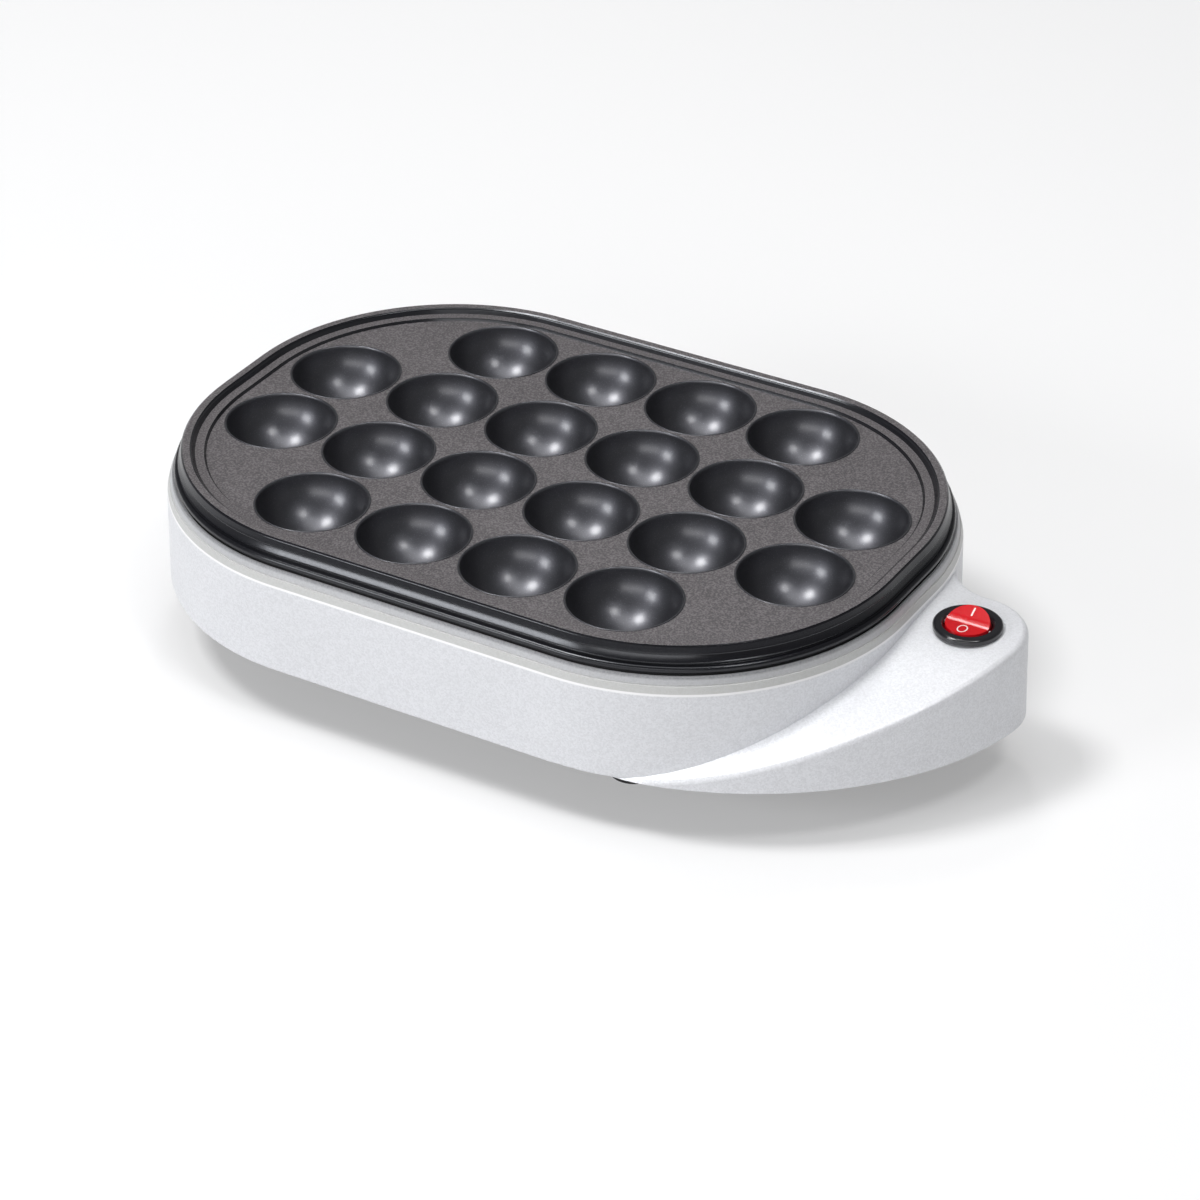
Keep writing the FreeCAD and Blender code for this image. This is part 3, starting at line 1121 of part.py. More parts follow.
def main():
    os.makedirs("parts", exist_ok=True)
    for name, shape in all_nodes().items():
        if not shape.isValid():
            print("INVALID shape:", name)
        print(f"{name}: {len(shape.Solids)} solids, {shape.Volume:.1f} mm3")
        shape.exportStep(f"parts/{name}.step")


main()
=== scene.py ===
"""Looks of an electric takoyaki maker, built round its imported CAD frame.

The frame brings every solid. This script gives each one its finish, and adds the pieces that are too fine
for the solids: the non-stick linings of the wells, the marks on the rocker, the grip rings of the feet, and
the bead and ribs under the base pan. All pieces are in metres, in the row frame.
"""

from __future__ import annotations

import json
import logging
import math
from dataclasses import dataclass
from enum import Enum

import bmesh
import bpy
from mathutils import Matrix, Vector

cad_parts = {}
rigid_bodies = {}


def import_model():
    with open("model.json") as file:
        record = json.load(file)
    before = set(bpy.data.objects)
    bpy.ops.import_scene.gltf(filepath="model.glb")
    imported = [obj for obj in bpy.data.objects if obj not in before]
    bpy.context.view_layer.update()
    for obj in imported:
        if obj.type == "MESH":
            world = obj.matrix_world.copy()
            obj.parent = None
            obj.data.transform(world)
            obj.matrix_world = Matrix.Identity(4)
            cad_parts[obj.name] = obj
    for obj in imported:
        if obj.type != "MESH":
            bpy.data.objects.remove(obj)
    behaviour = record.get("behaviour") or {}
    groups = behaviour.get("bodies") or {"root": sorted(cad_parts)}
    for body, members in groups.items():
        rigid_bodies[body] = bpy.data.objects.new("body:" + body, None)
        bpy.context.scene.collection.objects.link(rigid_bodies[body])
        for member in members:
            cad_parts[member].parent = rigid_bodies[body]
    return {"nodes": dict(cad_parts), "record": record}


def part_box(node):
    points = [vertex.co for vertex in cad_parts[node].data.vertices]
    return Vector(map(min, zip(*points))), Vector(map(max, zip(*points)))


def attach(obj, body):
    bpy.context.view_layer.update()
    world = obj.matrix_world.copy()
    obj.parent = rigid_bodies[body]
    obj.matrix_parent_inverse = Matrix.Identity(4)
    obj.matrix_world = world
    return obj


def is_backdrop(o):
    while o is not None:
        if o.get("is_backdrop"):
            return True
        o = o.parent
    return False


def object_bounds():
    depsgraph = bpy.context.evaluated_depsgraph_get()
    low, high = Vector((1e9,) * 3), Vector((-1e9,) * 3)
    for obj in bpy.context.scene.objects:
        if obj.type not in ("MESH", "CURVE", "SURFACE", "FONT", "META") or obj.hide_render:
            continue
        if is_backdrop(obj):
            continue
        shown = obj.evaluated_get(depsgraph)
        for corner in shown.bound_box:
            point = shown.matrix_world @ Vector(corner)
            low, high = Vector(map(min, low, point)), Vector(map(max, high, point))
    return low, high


LOG = logging.getLogger("takoyaki_maker")
MM = 0.001
Colour = tuple[float, float, float]
Point = tuple[float, float, float]


class Body(Enum):
    """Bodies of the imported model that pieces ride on."""

    BASE = "base"
    ROCKER = "rocker"


class Grain(Enum):
    """Kinds of surface grain that a plain finish can have."""

    SMOOTH = "smooth"
    SPARK = "spark"
    BRUSHED = "brushed"
    CAST = "cast"


# ---- node helpers ---------------------------------------------------------------------------
def opaque(value: object) -> object:
    """Adds full opacity to a plain colour, and leaves anything else as it is."""
    return (*value, 1.0) if isinstance(value, tuple) and len(value) == 3 else value


class Tree:
    """Short calls that add and join the nodes of one node tree."""

    def __init__(self, tree: bpy.types.NodeTree) -> None:
        """Keeps the tree that the calls work on.

        Args:
            tree: A material's or a geometry group's tree.
        """
        self.tree = tree

    def add(self, kind: str, inputs: dict | None = None, **settings: object) -> bpy.types.Node:
        """Adds one node.

        Args:
            kind: The node's type name.
            inputs: Values or sockets for its inputs, by name or number.
            settings: Properties that are set on the node itself.

        Returns:
            The new node.
        """
        node = self.tree.nodes.new(kind)
        for name, value in settings.items():
            setattr(node, name, value)
        for key, value in (inputs or {}).items():
            self.put(node.inputs[key], value)
        return node

    def put(self, socket: bpy.types.NodeSocket, value: object) -> None:
        """Joins a socket to an input, or sets the input's own value.

        Args:
            socket: The input.
            value: Another node's output, or a plain value.
        """
        if isinstance(value, bpy.types.NodeSocket):
            self.tree.links.new(value, socket)
        else:
            socket.default_value = value

    def math(self, operation: str, a: object, b: object = 0.0, c: object = 0.0) -> bpy.types.NodeSocket:
        """Adds a Math node and returns its result."""
        return self.add("ShaderNodeMath", {0: a, 1: b, 2: c}, operation=operation).outputs[0]

    def span(self, value: object, low: float, high: float, to_low: object = 0.0,
             to_high: object = 1.0) -> bpy.types.NodeSocket:
        """Maps a value from one range to another and returns the result."""
        inputs = {"Value": value, "From Min": low, "From Max": high, "To Min": to_low, "To Max": to_high}
        return self.add("ShaderNodeMapRange", inputs).outputs["Result"]

    def blend(self, factor: object, a: object, b: object) -> bpy.types.NodeSocket:
        """Mixes two colours and returns the mix."""
        inputs = {0: factor, 6: opaque(a), 7: opaque(b)}
        return self.add("ShaderNodeMix", inputs, data_type="RGBA").outputs[2]


class ShaderTree(Tree):
    """Node tree of a new material, with its surface shader in place."""

    def __init__(self, name: str) -> None:
        """Makes the material and empties its tree.

        Args:
            name: The material's name.
        """
        self.material = bpy.data.materials.new(name)
        self.material.use_nodes = True
        super().__init__(self.material.node_tree)
        self.tree.nodes.clear()
        self.shader = self.add("ShaderNodeBsdfPrincipled")
        output = self.add("ShaderNodeOutputMaterial")
        self.tree.links.new(self.shader.outputs[0], output.inputs["Surface"])
        self.place = self.add("ShaderNodeTexCoord").outputs["Object"]

    def axis(self, name: str) -> bpy.types.NodeSocket:
        """One coordinate of the shaded point in the row frame, in metres."""
        return self.add("ShaderNodeSeparateXYZ", {0: self.place}).outputs[name]

    def stretched(self, scale: Point) -> bpy.types.NodeSocket:
        """Object coordinates scaled apart along the axes."""
        return self.add("ShaderNodeMapping", {"Vector": self.place, "Scale": scale}).outputs[0]

    def noise(self, size_mm: float, detail: float = 2.0, where: object = None) -> bpy.types.NodeSocket:
        """Noise whose spots are about so many millimetres across."""
        inputs = {"Vector": where or self.place, "Scale": 1.0 / (size_mm * MM), "Detail": detail}
        return self.add("ShaderNodeTexNoise", inputs).outputs[0]

    def cells(self, size_mm: float, output: str = "Color") -> bpy.types.NodeSocket:
        """Cell pattern whose cells are about so many millimetres across."""
        inputs = {"Vector": self.place, "Scale": 1.0 / (size_mm * MM)}
        return self.add("ShaderNodeTexVoronoi", inputs).outputs[output]

    def bump(self, height: object, depth_mm: float, normal: object = None) -> None:
        """Gives the surface a relief.

        Args:
            height: The relief's height, from 0 to 1.
            depth_mm: How deep it is in millimetres.
            normal: A direction to build on, where it isn't the surface's own.
        """
        inputs = {"Height": height, "Distance": depth_mm * MM}
        if normal is not None:
            inputs["Normal"] = normal
        self.tree.links.new(self.add("ShaderNodeBump", inputs).outputs[0], self.shader.inputs["Normal"])

    def surface(self, **values: object) -> None:
        """Sets the surface shader's inputs, by their names with spaces as underscores."""
        for name, value in values.items():
            self.put(self.shader.inputs[name.replace("_", " ")], opaque(value))

    def gloss(self, pattern: object, middle: float, below: float, above: float,
              edge: float = 0.3) -> bpy.types.NodeSocket:
        """Roughness that a pattern moves from a little below its middle value to a little above."""
        return self.span(pattern, edge, 1.0 - edge, middle - below, middle + above)


# ---- finishes -------------------------------------------------------------------------------
@dataclass(frozen=True)
class Finish:
    """Plain finish: a colour that varies a little, with a grain in its gloss and relief."""

    name: str
    colour: Colour
    roughness: float = 0.5
    metallic: float = 0.0
    grain: Grain = Grain.SPARK
    grain_mm: float = 0.5
    depth_mm: float = 0.01
    variation: float = 0.12
    coat: float = 0.0

    def pattern(self, tree: ShaderTree) -> bpy.types.NodeSocket:
        """The grain's height, from 0 to 1.

        Args:
            tree: The tree that the nodes go into.

        Returns:
            The socket that gives the height.
        """
        if self.grain is Grain.BRUSHED:
            return tree.noise(self.grain_mm, 3.0, tree.stretched((0.04, 1.0, 1.0)))
        if self.grain is Grain.CAST:
            return tree.cells(self.grain_mm, "Distance")
        return tree.noise(self.grain_mm, 1.0 if self.grain is Grain.SMOOTH else 3.0)

    def build(self) -> bpy.types.Material:
        """Makes the material.

        Returns:
            The finished material.
        """
        tree = ShaderTree(self.name)
        height = self.pattern(tree)
        cloud = tree.noise(9.0, 2.0)
        dark = tuple(c * (1.0 - self.variation) for c in self.colour)
        light = tuple(min(1.0, c * (1.0 + self.variation)) for c in self.colour)
        mixed = tree.math("ADD", tree.math("MULTIPLY", height, 0.6), tree.math("MULTIPLY", cloud, 0.4))
        tree.surface(
            Base_Color=tree.blend(mixed, dark, light),
            Roughness=tree.span(height, 0.2, 0.8, self.roughness * 0.88, min(1.0, self.roughness * 1.12)),
            Metallic=self.metallic, Coat_Weight=self.coat, Coat_Roughness=0.12)
        tree.bump(height, self.depth_mm)
        return tree.material


@dataclass(frozen=True)
class PearlMoulding(Finish):
    """Satin silver moulding with fine flakes, a collar under the plate in a slightly warmer gray that is
    painted darker as shade under the rim, and a painted highlight line along the wall's top edge.
    """

    flake_mm: float = 0.55
    flake_share: float = 0.30
    flake_metal: float = 0.35
    cloud_mm: float = 24.0
    # Collar colours: a slightly warmer gray, painted darker upwards as shade under the plate's rim, darkest
    # just under it.
    shaded_collar_low: Colour = (0.555, 0.557, 0.547)
    shaded_collar_high: Colour = (0.455, 0.460, 0.475)
    rim_shadow_colour: Colour = (0.240, 0.242, 0.255)
    collar_mm: tuple[float, float, float] = (56.7, 59.9, 61.8)
    collar_fade_mm: tuple[float, float, float] = (0.2, 0.9, 0.7)
    # Painted highlight: a light line of colour along the wall's top edge.
    highlight_line_mm: float = 56.0
    highlight_line_fade_mm: float = 0.3
    highlight_line_colour: Colour = (0.93, 0.93, 0.94)

    def build(self) -> bpy.types.Material:
        """Makes the material.

        Returns:
            The finished material.
        """
        tree = ShaderTree(self.name)
        flakes = tree.cells(self.flake_mm)
        spark = tree.add("ShaderNodeSeparateColor", {0: flakes}).outputs[0]
        fine = tree.noise(self.grain_mm, 2.0)
        cloud = tree.noise(self.cloud_mm, 1.0)
        dark = tuple(c * 0.88 for c in self.colour)
        light = tuple(min(1.0, c * 1.06) for c in self.colour)
        tone = tree.math("ADD", tree.math("MULTIPLY", spark, 0.7), tree.math("MULTIPLY", cloud, 0.3))
        height = tree.axis("Z")
        wall = tree.blend(tone, dark, light)
        # Painted highlight line along the wall's top edge.
        line = tree.span(height, (self.highlight_line_mm - self.highlight_line_fade_mm) * MM, self.highlight_line_mm * MM)
        with_highlight_line = tree.blend(line, wall, self.highlight_line_colour)
        # Painted shade: the collar darkens in steps towards the rim above it.
        collar, step, top = (tree.span(height, (level - fade) * MM, level * MM)
                             for level, fade in zip(self.collar_mm, self.collar_fade_mm))
        band = tree.blend(step, self.shaded_collar_low, self.shaded_collar_high)
        shade = tree.blend(tree.math("MULTIPLY", spark, 0.15), tree.blend(top, band, self.rim_shadow_colour), light)
        shiny = min(1.0, self.metallic + self.flake_metal)
        tree.surface(
            Base_Color=tree.blend(collar, with_highlight_line, shade),
            Metallic=tree.span(spark, 1.0 - self.flake_share, 1.0, self.metallic, shiny),
            Roughness=tree.gloss(fine, self.roughness, 0.05, 0.06, edge=0.25),
            Coat_Weight=self.coat, Coat_Roughness=0.25)
        tree.bump(tree.math("ADD", fine, tree.math("MULTIPLY", spark, 0.5)), self.depth_mm)
        return tree.material


@dataclass(frozen=True)
class CoatedCasting(Finish):
    """Non-stick coat: speckled gray on the up-facing flat, dark and glossy on the rim's slope, bare
    underneath. The flat's lighter gray is partly the coat's speckle and partly painted reflection of the pale
    surroundings.
    """

    rim_colour: Colour = (0.0065, 0.0067, 0.0090)
    bare_colour: Colour = (0.42, 0.42, 0.43)
    speck_colour: Colour = (0.240, 0.224, 0.230)
    floor_mm: float = 69.3
    bare_mm: float = 62.4
    rim_roughness: float = 0.20
    sheen: Colour = (0.93, 0.95, 1.0)
    cove_mm: tuple[float, float] = (66.8, 70.2)
    cove_fade_mm: tuple[float, float, float] = (0.3, 1.5, 1.0)
    cove_turn: tuple[float, float] = (34.5, 20.0)

    def cove(self, tree: ShaderTree, normal: bpy.types.NodeSocket) -> bpy.types.NodeSocket:
        """Rounds the rim's flank into one smooth cove, by the direction that its surface faces.

        Args:
            tree: The tree that the nodes go into.
            normal: The surface's own direction.

        Returns:
            The direction to shade with.
        """
        low, high = (level * MM for level in self.cove_mm)
        foot, end, start = (fade * MM for fade in self.cove_fade_mm)
        lower, upper = (math.radians(turn) for turn in self.cove_turn)
        apart = tree.add("ShaderNodeSeparateXYZ", {0: normal}).outputs
        level = tree.axis("Z")
        turn = tree.span(level, low, high, lower, upper)
        flat = tree.add("ShaderNodeCombineXYZ", {0: apart["X"], 1: apart["Y"]}).outputs[0]
        out = tree.add("ShaderNodeVectorMath", {0: flat}, operation="NORMALIZE").outputs[0]
        reach = {0: out, "Scale": tree.math("COSINE", turn)}
        side = tree.add("ShaderNodeVectorMath", reach, operation="SCALE").outputs[0]
        rise = tree.add("ShaderNodeCombineXYZ", {2: tree.math("SINE", turn)}).outputs[0]
        bent = tree.add("ShaderNodeVectorMath", {0: side, 1: rise}).outputs[0]
        inside = tree.math("MULTIPLY", tree.span(level, low - foot, low),
                           tree.span(level, high + end, high + start))
        steep = tree.math("MULTIPLY", tree.span(apart["Z"], -0.3, -0.15), tree.span(apart["Z"], 0.95, 0.85))
        inputs = {0: tree.math("MULTIPLY", inside, steep), 4: normal, 5: bent}
        return tree.add("ShaderNodeMix", inputs, data_type="VECTOR").outputs[1]

    def build(self) -> bpy.types.Material:
        """Makes the material.

        Returns:
            The finished material.
        """
        tree = ShaderTree(self.name)
        height = tree.axis("Z")
        normal = tree.add("ShaderNodeNewGeometry").outputs["Normal"]
        up = tree.add("ShaderNodeSeparateXYZ", {0: normal}).outputs["Z"]
        above = tree.span(height, (self.floor_mm - 0.2) * MM, (self.floor_mm - 0.1) * MM)
        on_floor = tree.math("MULTIPLY", above, tree.span(up, 0.80, 0.93))
        under = tree.math("MULTIPLY", tree.span(height, self.bare_mm * MM, (self.bare_mm - 0.3) * MM),
                          tree.span(up, 0.05, -0.05))
        specks = tree.noise(self.grain_mm, 3.0)
        sharp = tree.span(specks, 0.44, 0.60)
        cloud = tree.noise(35.0, 1.0)
        tone = tree.math("ADD", tree.math("MULTIPLY", sharp, 0.75), tree.math("MULTIPLY", cloud, 0.25))
        # Up-facing faces get the lighter speckled gray, partly painted reflection of the pale surroundings.
        # Steep faces keep the dark coat.
        colour = tree.blend(on_floor, self.rim_colour, tree.blend(tone, self.colour, self.speck_colour))
        inputs = {0: on_floor, 2: tree.gloss(specks, self.rim_roughness, 0.03, 0.05),
                  3: tree.gloss(specks, self.roughness, 0.06, 0.08)}
        gloss = tree.add("ShaderNodeMix", inputs, data_type="FLOAT").outputs[0]
        tree.surface(
            Base_Color=tree.blend(under, colour, self.bare_colour),
            Metallic=tree.math("MAXIMUM", tree.math("MULTIPLY", on_floor, self.metallic), under),
            Roughness=gloss, Specular_IOR_Level=0.5, Specular_Tint=self.sheen)
        tree.bump(tree.math("MULTIPLY", specks, tree.span(on_floor, 0.0, 1.0, 0.05, 1.0)), self.depth_mm,
                  self.cove(tree, normal))
        return tree.material


@dataclass(frozen=True)
class WellCoat(Finish):
    """Deep black non-stick coat of the wells, with the fine orange peel of a sprayed film."""

    def build(self) -> bpy.types.Material:
        """Makes the material.

        Returns:
            The finished material.
        """
        tree = ShaderTree(self.name)
        peel = tree.noise(self.grain_mm, 2.0)
        dust = tree.span(tree.noise(0.35, 1.0), 0.62, 0.72)
        lighter = tuple(c * 1.5 for c in self.colour)
        tree.surface(
            Base_Color=tree.blend(dust, self.colour, lighter),
            Roughness=tree.gloss(peel, self.roughness, 0.03, 0.05),
            Metallic=self.metallic, Coat_Weight=self.coat, Coat_Roughness=0.24)
        tree.bump(peel, self.depth_mm)
        return tree.material


@dataclass(frozen=True)
class StripedLead(Finish):
    """Lead insulation with a second colour in stripes round it."""

    stripe: Colour = (0.85, 0.75, 0.10)

    def build(self) -> bpy.types.Material:
        """Makes the material.

        Returns:
            The finished material.
        """
        tree = ShaderTree(self.name)
        wave = tree.add("ShaderNodeTexWave", {"Vector": tree.place, "Scale": 60.0, "Distortion": 1.5})
        band = tree.span(wave.outputs[0], 0.45, 0.55)
        tree.surface(Base_Color=tree.blend(band, self.colour, self.stripe), Roughness=self.roughness)
        tree.bump(tree.noise(self.grain_mm), self.depth_mm)
        return tree.material


@dataclass(frozen=True)
class BraidedSleeve(Finish):
    """Glass-fibre braid."""

    def build(self) -> bpy.types.Material:
        """Makes the material.

        Returns:
            The finished material.
        """
        tree = ShaderTree(self.name)
        bands = [tree.add("ShaderNodeTexWave", {"Vector": tree.place, "Scale": 420.0, "Distortion": 0.4},
                          bands_direction=side).outputs[0] for side in ("X", "DIAGONAL")]
        braid = tree.math("MULTIPLY", *bands)
        dark = tuple(c * 0.72 for c in self.colour)
        tree.surface(Base_Color=tree.blend(braid, dark, self.colour), Roughness=self.roughness)
        tree.bump(braid, self.depth_mm)
        return tree.material


@dataclass(frozen=True)
class ClearTube(Finish):
    """Glass of the signal lamp with a warm glow."""

    def build(self) -> bpy.types.Material:
        """Makes the material.

        Returns:
            The finished material.
        """
        tree = ShaderTree(self.name)
        streak = tree.noise(self.grain_mm, 2.0)
        warm = tuple(c * 0.8 for c in self.colour)
        tree.surface(Base_Color=tree.blend(streak, warm, self.colour), Transmission_Weight=0.85,
                     Roughness=self.roughness, IOR=1.47)
        tree.bump(streak, self.depth_mm)
        return tree.material


@dataclass(frozen=True)
class RedRocker(Finish):
    """Red see-through moulding with a polished face, whose two halves meet in a rounded valley.

    The relief widens the solid's own narrow valley: it turns the face beside it halfway over, up to valley_mm
    behind it and valley_front_mm in front of it.
    """

    ripple_mm: float = 1.2
    valley_y_mm: float = -0.42
    valley_mm: float = 2.2
    valley_slope: float = 0.24
    valley_power: float = 1.2
    valley_round_mm: float = 0.3
    valley_front_mm: float = 0.6

    def build(self) -> bpy.types.Material:
        """Makes the material.

        Returns:
            The finished material.
        """
        tree = ShaderTree(self.name)
        flow = tree.noise(4.0, 1.0)
        deep = tuple(c * 0.86 for c in self.colour)
        across = tree.math("MAXIMUM", tree.math("SUBTRACT", tree.axis("Y"), self.valley_y_mm * MM),
                           -self.valley_front_mm * MM)
        squares = tree.math("ADD", tree.math("MULTIPLY", across, across), (self.valley_round_mm * MM) ** 2)
        off = tree.math("DIVIDE", tree.math("SQRT", squares), self.valley_mm * MM)
        near = tree.math("MAXIMUM", tree.math("SUBTRACT", 1.0, off), 0.0)
        valley = tree.math("POWER", near, self.valley_power)
        tree.surface(
            Base_Color=tree.blend(flow, deep, self.colour),
            Roughness=tree.gloss(tree.noise(self.grain_mm), self.roughness, 0.02, 0.03),
            Subsurface_Weight=0.12, Subsurface_Scale=0.001, Coat_Weight=self.coat, Coat_Roughness=0.06,
            Specular_IOR_Level=0.5)
        ripple = tree.math("MULTIPLY", tree.noise(self.ripple_mm), self.depth_mm)
        depth = self.valley_slope * self.valley_mm / self.valley_power
        tree.bump(tree.math("ADD", valley, ripple), depth)
        return tree.material


FINISHES: dict[str, Finish] = {
    # The plate's flat colour is lighter than its dark rim, partly as painted reflection.
    "plate": CoatedCasting("non_stick_plate", (0.087, 0.080, 0.084), 0.42, 0.30, grain_mm=0.65,
                           depth_mm=0.035),
    "shell": PearlMoulding("pearl_silver_moulding", (0.80, 0.81, 0.84), 0.42, 0.12, grain_mm=0.35,
                           depth_mm=0.006, coat=0.04),
    "pan": Finish("dark_pan_moulding", (0.060, 0.060, 0.064), 0.58, grain=Grain.CAST, grain_mm=0.8,
                  depth_mm=0.03),
    "foot_rubber": Finish("foot_rubber", (0.030, 0.030, 0.031), 0.78, grain_mm=0.4, depth_mm=0.03,
                          variation=0.3),
    "seal": Finish("seal_silicone", (0.022, 0.022, 0.024), 0.55),
    "element": Finish("oxidised_sheath", (0.20, 0.175, 0.155), 0.46, 0.85, Grain.BRUSHED, 0.6, 0.02, 0.3),
    "ceramic": Finish("fired_ceramic", (0.84, 0.81, 0.74), 0.42, grain_mm=0.6, variation=0.05),
    "steel": Finish("zinc_plated_steel", (0.62, 0.63, 0.65), 0.30, 0.95, Grain.BRUSHED, 0.35, 0.006, 0.08),
    "sheet": Finish("aluminised_sheet", (0.70, 0.71, 0.73), 0.34, 0.9, Grain.CAST, 3.0, 0.01, 0.08),
    "phenolic": Finish("moulded_phenolic", (0.085, 0.050, 0.034), grain_mm=0.7, depth_mm=0.02,
                       variation=0.25),
    "glass_sleeve": BraidedSleeve("braided_glass", (0.85, 0.84, 0.80), 0.7, depth_mm=0.06),
    "brass": Finish("stamped_brass", (0.78, 0.58, 0.26), 0.28, 1.0, Grain.BRUSHED, 0.3, 0.006, 0.1),
    "nylon_black": Finish("black_nylon", (0.030, 0.030, 0.033), depth_mm=0.012),
    "nylon_white": Finish("white_nylon", (0.82, 0.81, 0.77), 0.45, depth_mm=0.012, variation=0.04),
    "bezel": Finish("gloss_black_bezel", (0.010, 0.010, 0.013), 0.16, grain=Grain.SMOOTH, grain_mm=0.8,
                    depth_mm=0.002, variation=0.2, coat=0.6),
    "rocker": RedRocker("red_rocker", (0.68, 0.005, 0.012), 0.12, grain=Grain.SMOOTH, grain_mm=0.6,
                        depth_mm=0.006, coat=0.6),
    "lamp_glass": ClearTube("lamp_glass", (1.0, 0.86, 0.72), 0.05, grain_mm=1.0, depth_mm=0.002),
    "lead_blue": Finish("blue_lead", (0.045, 0.13, 0.50), grain_mm=0.4),
    "lead_brown": Finish("brown_lead", (0.16, 0.070, 0.035), grain_mm=0.4),
    "lead_white": Finish("white_lead", (0.80, 0.80, 0.77), grain_mm=0.4, variation=0.05),
    "lead_green": StripedLead("earth_lead_stripes", (0.05, 0.36, 0.07), grain_mm=0.4),
}
WELL_FINISH = WellCoat("well_coat", (0.080, 0.081, 0.093), 0.42, 0.95, grain_mm=0.55, depth_mm=0.012,
                       coat=0.9)
MARK_FINISH = Finish("pale_mark_ink", (0.88, 0.76, 0.75), 0.4, grain_mm=0.3, depth_mm=0.004, variation=0.04)


class Paintbox:
    """Makes each material once and hands it out."""

    def __init__(self) -> None:
        """Starts with no material made."""
        self.made: dict[str, bpy.types.Material] = {}

    def get(self, finish: Finish) -> bpy.types.Material:
        """Gives the material of a finish, made when it is first asked for.

        Args:
            finish: The finish.

        Returns:
            Its material.
        """
        if finish.name not in self.made:
            self.made[finish.name] = finish.build()
        return self.made[finish.name]


# ---- geometry trees -------------------------------------------------------------------------
class ShapeTree(Tree):
    """Geometry Nodes tree with named inputs, which is turned into a plain mesh object."""

    def __init__(self, name: str, sizes: dict[str, float | int]) -> None:
        """Makes the group and one input for each size.

        Args:
            name: The group's name, and later the piece's.
            sizes: Names and values of the inputs, whole numbers for counts.
        """
        self.name = name
        self.sizes = sizes
        group = bpy.data.node_groups.new(name, "GeometryNodeTree")
        super().__init__(group)
        group.interface.new_socket("Geometry", in_out="OUTPUT", socket_type="NodeSocketGeometry")
        self.ids: dict[str, str] = {}
        for key, value in sizes.items():
            kind = "NodeSocketInt" if isinstance(value, int) else "NodeSocketFloat"
            self.ids[key] = group.interface.new_socket(key, in_out="INPUT", socket_type=kind).identifier
        self.source = self.add("NodeGroupInput")
        self.sink = self.add("NodeGroupOutput")

    def size(self, name: str) -> bpy.types.NodeSocket:
        """The socket of one named input."""
        return self.source.outputs[name]

    def vector(self, x: object = 0.0, y: object = 0.0, z: object = 0.0) -> bpy.types.NodeSocket:
        """Joins three values into a vector."""
        return self.add("ShaderNodeCombineXYZ", {0: x, 1: y, 2: z}).outputs[0]

    def position(self) -> bpy.types.Node:
        """The coordinates of each point, apart."""
        where = self.add("GeometryNodeInputPosition").outputs[0]
        return self.add("ShaderNodeSeparateXYZ", {0: where})

    def grid(self, size_x: object, size_y: object, count_x: object, count_y: object) -> bpy.types.NodeSocket:
        """Adds a flat grid round the origin and returns it."""
        inputs = {"Size X": size_x, "Size Y": size_y, "Vertices X": count_x, "Vertices Y": count_y}
        return self.add("GeometryNodeMeshGrid", inputs).outputs["Mesh"]

    def circle(self, radius: object, steps: int) -> bpy.types.NodeSocket:
        """Adds a round curve and returns it."""
        inputs = {"Resolution": steps, "Radius": radius}
        return self.add("GeometryNodeCurvePrimitiveCircle", inputs).outputs[0]

    def sweep(self, path: object, section: object) -> bpy.types.NodeSocket:
        """Draws a section along a path and returns the mesh."""
        return self.add("GeometryNodeCurveToMesh", {"Curve": path, "Profile Curve": section}).outputs[0]

    def moved(self, shape: object, way: object) -> bpy.types.NodeSocket:
        """Moves a geometry by a vector and returns it."""
        return self.add("GeometryNodeTransform", {"Geometry": shape, "Translation": way}).outputs[0]

    def copies(self, points: object, piece: object) -> bpy.types.NodeSocket:
        """Puts a copy of a piece on each point and returns the copies, as instances."""
        return self.add("GeometryNodeInstanceOnPoints", {"Points": points, "Instance": piece}).outputs[0]

    def join(self, *parts: bpy.types.NodeSocket) -> bpy.types.NodeSocket:
        """Joins several geometries into one.

        Args:
            parts: The geometries.

        Returns:
            All of them together.
        """
        node = self.add("GeometryNodeJoinGeometry")
        for part in parts:
            self.tree.links.new(part, node.inputs[0])
        return node.outputs[0]

    def finish(self, shape: bpy.types.NodeSocket, material: bpy.types.Material, smooth: bool = True,
               wall: float = 0.0) -> bpy.types.Object:
        """Ends the tree, runs it and keeps its result as a plain mesh.

        Args:
            shape: The geometry that the tree gives.
            material: The finish of the piece.
            smooth: Whether its faces are shaded smooth.
            wall: Thickness in metres that an open surface gets towards its back.

        Returns:
            The new object, at the origin.
        """
        real = self.add("GeometryNodeRealizeInstances", {0: shape}).outputs[0]
        shaded = self.add("GeometryNodeSetShadeSmooth", {0: real, "Shade Smooth": smooth}).outputs[0]
        dressed = self.add("GeometryNodeSetMaterial", {0: shaded, "Material": material}).outputs[0]
        self.tree.links.new(dressed, self.sink.inputs[0])
        host = bpy.data.objects.new(self.name + "_host", bpy.data.meshes.new(self.name + "_host"))
        bpy.context.scene.collection.objects.link(host)
        modifier = host.modifiers.new("shape", "NODES")
        modifier.node_group = self.tree
        for key, value in self.sizes.items():
            modifier[self.ids[key]] = value
        if wall:
            thick = host.modifiers.new("wall", "SOLIDIFY")
            thick.thickness, thick.offset, thick.use_even_offset = wall, -1.0, True
        return keep_mesh(host, self.name, material)


